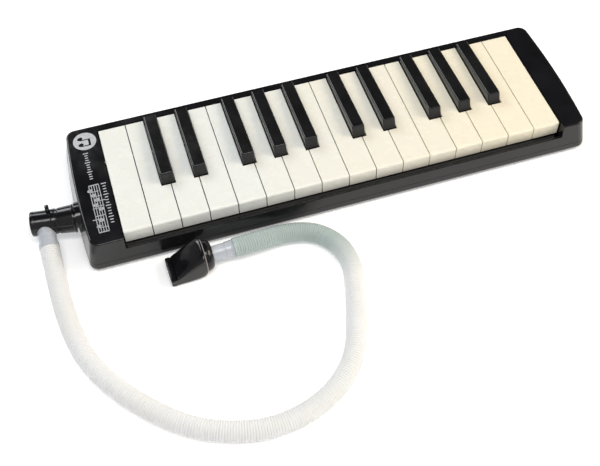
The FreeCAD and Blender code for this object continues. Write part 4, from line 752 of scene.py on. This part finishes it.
def disc_notes(height):
    """A pair of joined notes, in the colour of the casing, on the printed disc."""
    mesh = bmesh.new()

    def at(x, y):
        return Vector((x * MM, y * MM, height + PRINT_THICKNESS * 1.6))

    for y in (43.2, 37.4):
        add_disc(mesh, at(-171.2, y), 2.0 * MM, squash=0.72, turn=0.4)
        add_bar(mesh, at(-168.0, y - 1.5), Vector((6.6 * MM, 0.8 * MM, PRINT_THICKNESS)))
    add_bar(mesh, at(-164.9, 38.8), Vector((1.6 * MM, 6.6 * MM, PRINT_THICKNESS)))
    return mesh


class MELODICA_OT_casing(Operator):
    """Finishes the casing's two shells and prints the ornament on its left cheek"""

    bl_idname = "melodica.casing"
    bl_label = "Casing"

    def execute(self, context):
        tints = context.scene.melodica_colours
        gloss = moulded_gloss("casing_gloss_black", tints.casing)
        for node in ("upper_case", "lower_case", "blow_socket"):
            give(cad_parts[node], gloss)
        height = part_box("upper_case")[HIGH].z
        silver = silver_ink_and_painted_highlight("print_silver_ink", tints.print)
        for name, mesh, ink in (("cheek_print", cheek_print(height), silver), ("cheek_notes", disc_notes(height), gloss)):
            settle(mesh)
            new_piece(name, mesh, ink, "casing", smooth=False)
        return {"FINISHED"}


class MELODICA_OT_keys(Operator):
    """Finishes the white and the black keys"""

    bl_idname = "melodica.keys"
    bl_label = "Keys"

    def execute(self, context):
        tints = context.scene.melodica_colours
        ebony = moulded_gloss("key_black_plastic", tints.ebony, 0.16, 0.3, 0.12)
        for name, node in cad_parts.items():
            if name.startswith("white_key"):
                # Painted warm light: the higher white keys are coloured warmer and yellower, for the warm lamp light
                # on that side.
                warmth = min(max((int(name[-2:]) - 5) / 10, 0), 1)
                tint = tuple(cool_part + (warm_part - cool_part) * warmth for cool_part, warm_part in zip(tints.ivory, tints.painted_warm_tint))
                give(node, key_ivory("key_ivory_plastic" + name[-3:], tint))
            elif name.startswith("black_key"):
                give(node, ebony)
        return {"FINISHED"}


class MELODICA_OT_works(Operator):
    """Finishes the feet, screws, felts, reeds, springs and the other parts inside the casing"""

    bl_idname = "melodica.works"
    bl_label = "Works"

    def execute(self, context):
        across, along = (90, 1500, 1500), (1500, 90, 1500)
        steel = worked_metal("screw_bright_steel", (0.55, 0.55, 0.56), 0.22, 0.4, across)
        spring = worked_metal("spring_blued_steel", (0.3, 0.32, 0.36), 0.25, 0.42, along)
        brass = worked_metal("reed_rolled_brass", (0.72, 0.55, 0.26), 0.22, 0.4, along)
        board = matte_plastic("board_grey_plastic", (0.14, 0.14, 0.15))
        drain = matte_plastic("drain_black_plastic", (0.02, 0.02, 0.021))
        foot = soft_rubber("foot_black_rubber", (0.03, 0.03, 0.03))
        seal = soft_rubber("seal_pale_rubber", (0.5, 0.48, 0.43))
        finishes = {
            steel: ("case_screws", "chamber_screws", "reed_plate_screws", "key_axle"),
            spring: ("key_springs", "drain_spring"),
            brass: ("reed_plate_low", "reed_plate_high", "reed_tongues", "reed_rivets"),
            board: ("wind_chamber", "valve_board", "axle_brackets", "wind_duct"),
            drain: ("drain_button",),
            foot: ("rubber_feet",),
            seal: ("chamber_gasket", "socket_o_ring", "drain_seal"),
            key_felt("key_dark_felt", (0.012, 0.012, 0.013)): ("key_felts",),
        }
        for material, nodes in finishes.items():
            for node in nodes:
                give(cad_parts[node], material)
        return {"FINISHED"}


# Stage.


class MELODICA_OT_stage(Operator):
    """Sets the camera, the soft lights and the pale floor"""

    bl_idname = "melodica.stage"
    bl_label = "Stage"

    def execute(self, context):
        scene, settings = context.scene, context.scene.melodica_stage
        right, up, back = Vector((0.9553, -0.2952, -0.0164)), Vector((0.2484, 0.7711, 0.5862)), Vector(
            (-0.1604, -0.5641, 0.8100)
        )
        lens = bpy.data.cameras.new("camera")
        lens.lens, lens.sensor_width = settings.lens, 36
        lens.clip_start, lens.clip_end = 0.01, 20
        camera = bpy.data.objects.new("camera", lens)
        turn = Matrix((right, up, back)).transposed().to_4x4()
        camera.matrix_world = Matrix.Translation((-0.1488, -0.4494, 0.5519)) @ turn
        scene.collection.objects.link(camera)
        scene.camera = camera
        scene.view_settings.view_transform = "Standard"
        scene.view_settings.look = "None"

        mesh = bmesh.new()
        bmesh.ops.create_grid(mesh, x_segments=8, y_segments=8, size=4)
        data = bpy.data.meshes.new("floor")
        mesh.to_mesh(data)
        mesh.free()
        floor = bpy.data.objects.new("floor", data)
        scene.collection.objects.link(floor)
        give(floor, table_top("floor_pale", scene.melodica_colours.floor))

        for name, place, size, power, tint in (
            ("window", (-0.75, 1.25, 0.95), (1.1, 0.6), settings.window, (0.94, 0.97, 1.0)),
            ("lamp", (1.15, -0.30, 0.85), (0.8, 0.7), settings.lamp, (1.0, 0.88, 0.70)),
            ("top", (-0.10, -0.45, 1.25), (0.9, 0.35), settings.top, (1.0, 1.0, 1.0)),
        ):
            light = bpy.data.lights.new(name, "AREA")
            light.shape, light.energy, light.color = "RECTANGLE", power, tint
            light.size, light.size_y = size
            holder = bpy.data.objects.new(name, light)
            holder.location = place
            aim = Vector((0, -0.03, 0.0)) - Vector(place)
            holder.rotation_euler = aim.to_track_quat("-Z", "Y").to_euler()
            scene.collection.objects.link(holder)

        # The room: pale low down and in front, and dark above and behind, where the flat tops mirror it.
        world = bpy.data.worlds.new("studio")
        world.use_nodes = True
        tree = world.node_tree
        sky = tree.nodes["Background"]
        facing = tree.nodes.new("ShaderNodeTexCoord")
        behind = tree.nodes.new("ShaderNodeVectorMath")
        behind.operation = "DOT_PRODUCT"
        behind.inputs[1].default_value = (-0.12, 0.62, 0.775)
        tree.links.new(facing.outputs["Generated"], behind.inputs[0])
        dark = tree.nodes.new("ShaderNodeMapRange")
        dark.interpolation_type = "SMOOTHSTEP"
        for socket, setting in (("From Min", 0.45), ("From Max", 0.86), ("To Min", 1.0), ("To Max", 0.06)):
            dark.inputs[socket].default_value = setting
        tree.links.new(behind.outputs["Value"], dark.inputs["Value"])
        scale = tree.nodes.new("ShaderNodeMath")
        scale.operation = "MULTIPLY"
        scale.inputs[1].default_value = settings.fill
        tree.links.new(dark.outputs["Result"], scale.inputs[0])
        tree.links.new(scale.outputs["Value"], sky.inputs["Strength"])
        sky.inputs["Color"].default_value = (1, 1, 1, 1)
        scene.world = world
        return {"FINISHED"}


class MELODICA_PT_panel(Panel):
    """Lists the steps that build the melodica, with the sizes and colours they use"""

    bl_label = "Melodica"
    bl_space_type = "VIEW_3D"
    bl_region_type = "UI"
    bl_category = "Melodica"

    def draw(self, context):
        for name, group in SETTINGS.items():
            box = self.layout.box()
            for setting in group.__annotations__:
                box.prop(getattr(context.scene, name), setting)
        for step in STEPS:
            self.layout.operator(step.bl_idname)


STEPS = (
    MELODICA_OT_stage, MELODICA_OT_mouthpiece, MELODICA_OT_sleeves, MELODICA_OT_hose, MELODICA_OT_elbow,
    MELODICA_OT_casing, MELODICA_OT_keys, MELODICA_OT_works,
)


def register():
    for group in (*SETTINGS.values(), *STEPS, MELODICA_PT_panel):
        bpy.utils.register_class(group)
    for name, group in SETTINGS.items():
        setattr(bpy.types.Scene, name, PointerProperty(type=group))


def unregister():
    for name in SETTINGS:
        delattr(bpy.types.Scene, name)
    for group in reversed((*SETTINGS.values(), *STEPS, MELODICA_PT_panel)):
        bpy.utils.unregister_class(group)


def main():
    """Builds everything."""
    register()
    bpy.ops.melodica.stage()
    bpy.ops.melodica.mouthpiece()
    bpy.ops.melodica.sleeves()
    bpy.ops.melodica.hose()
    bpy.ops.melodica.elbow()
    bpy.ops.melodica.casing()
    bpy.ops.melodica.keys()
    bpy.ops.melodica.works()


if __name__ == "__main__":
    main()
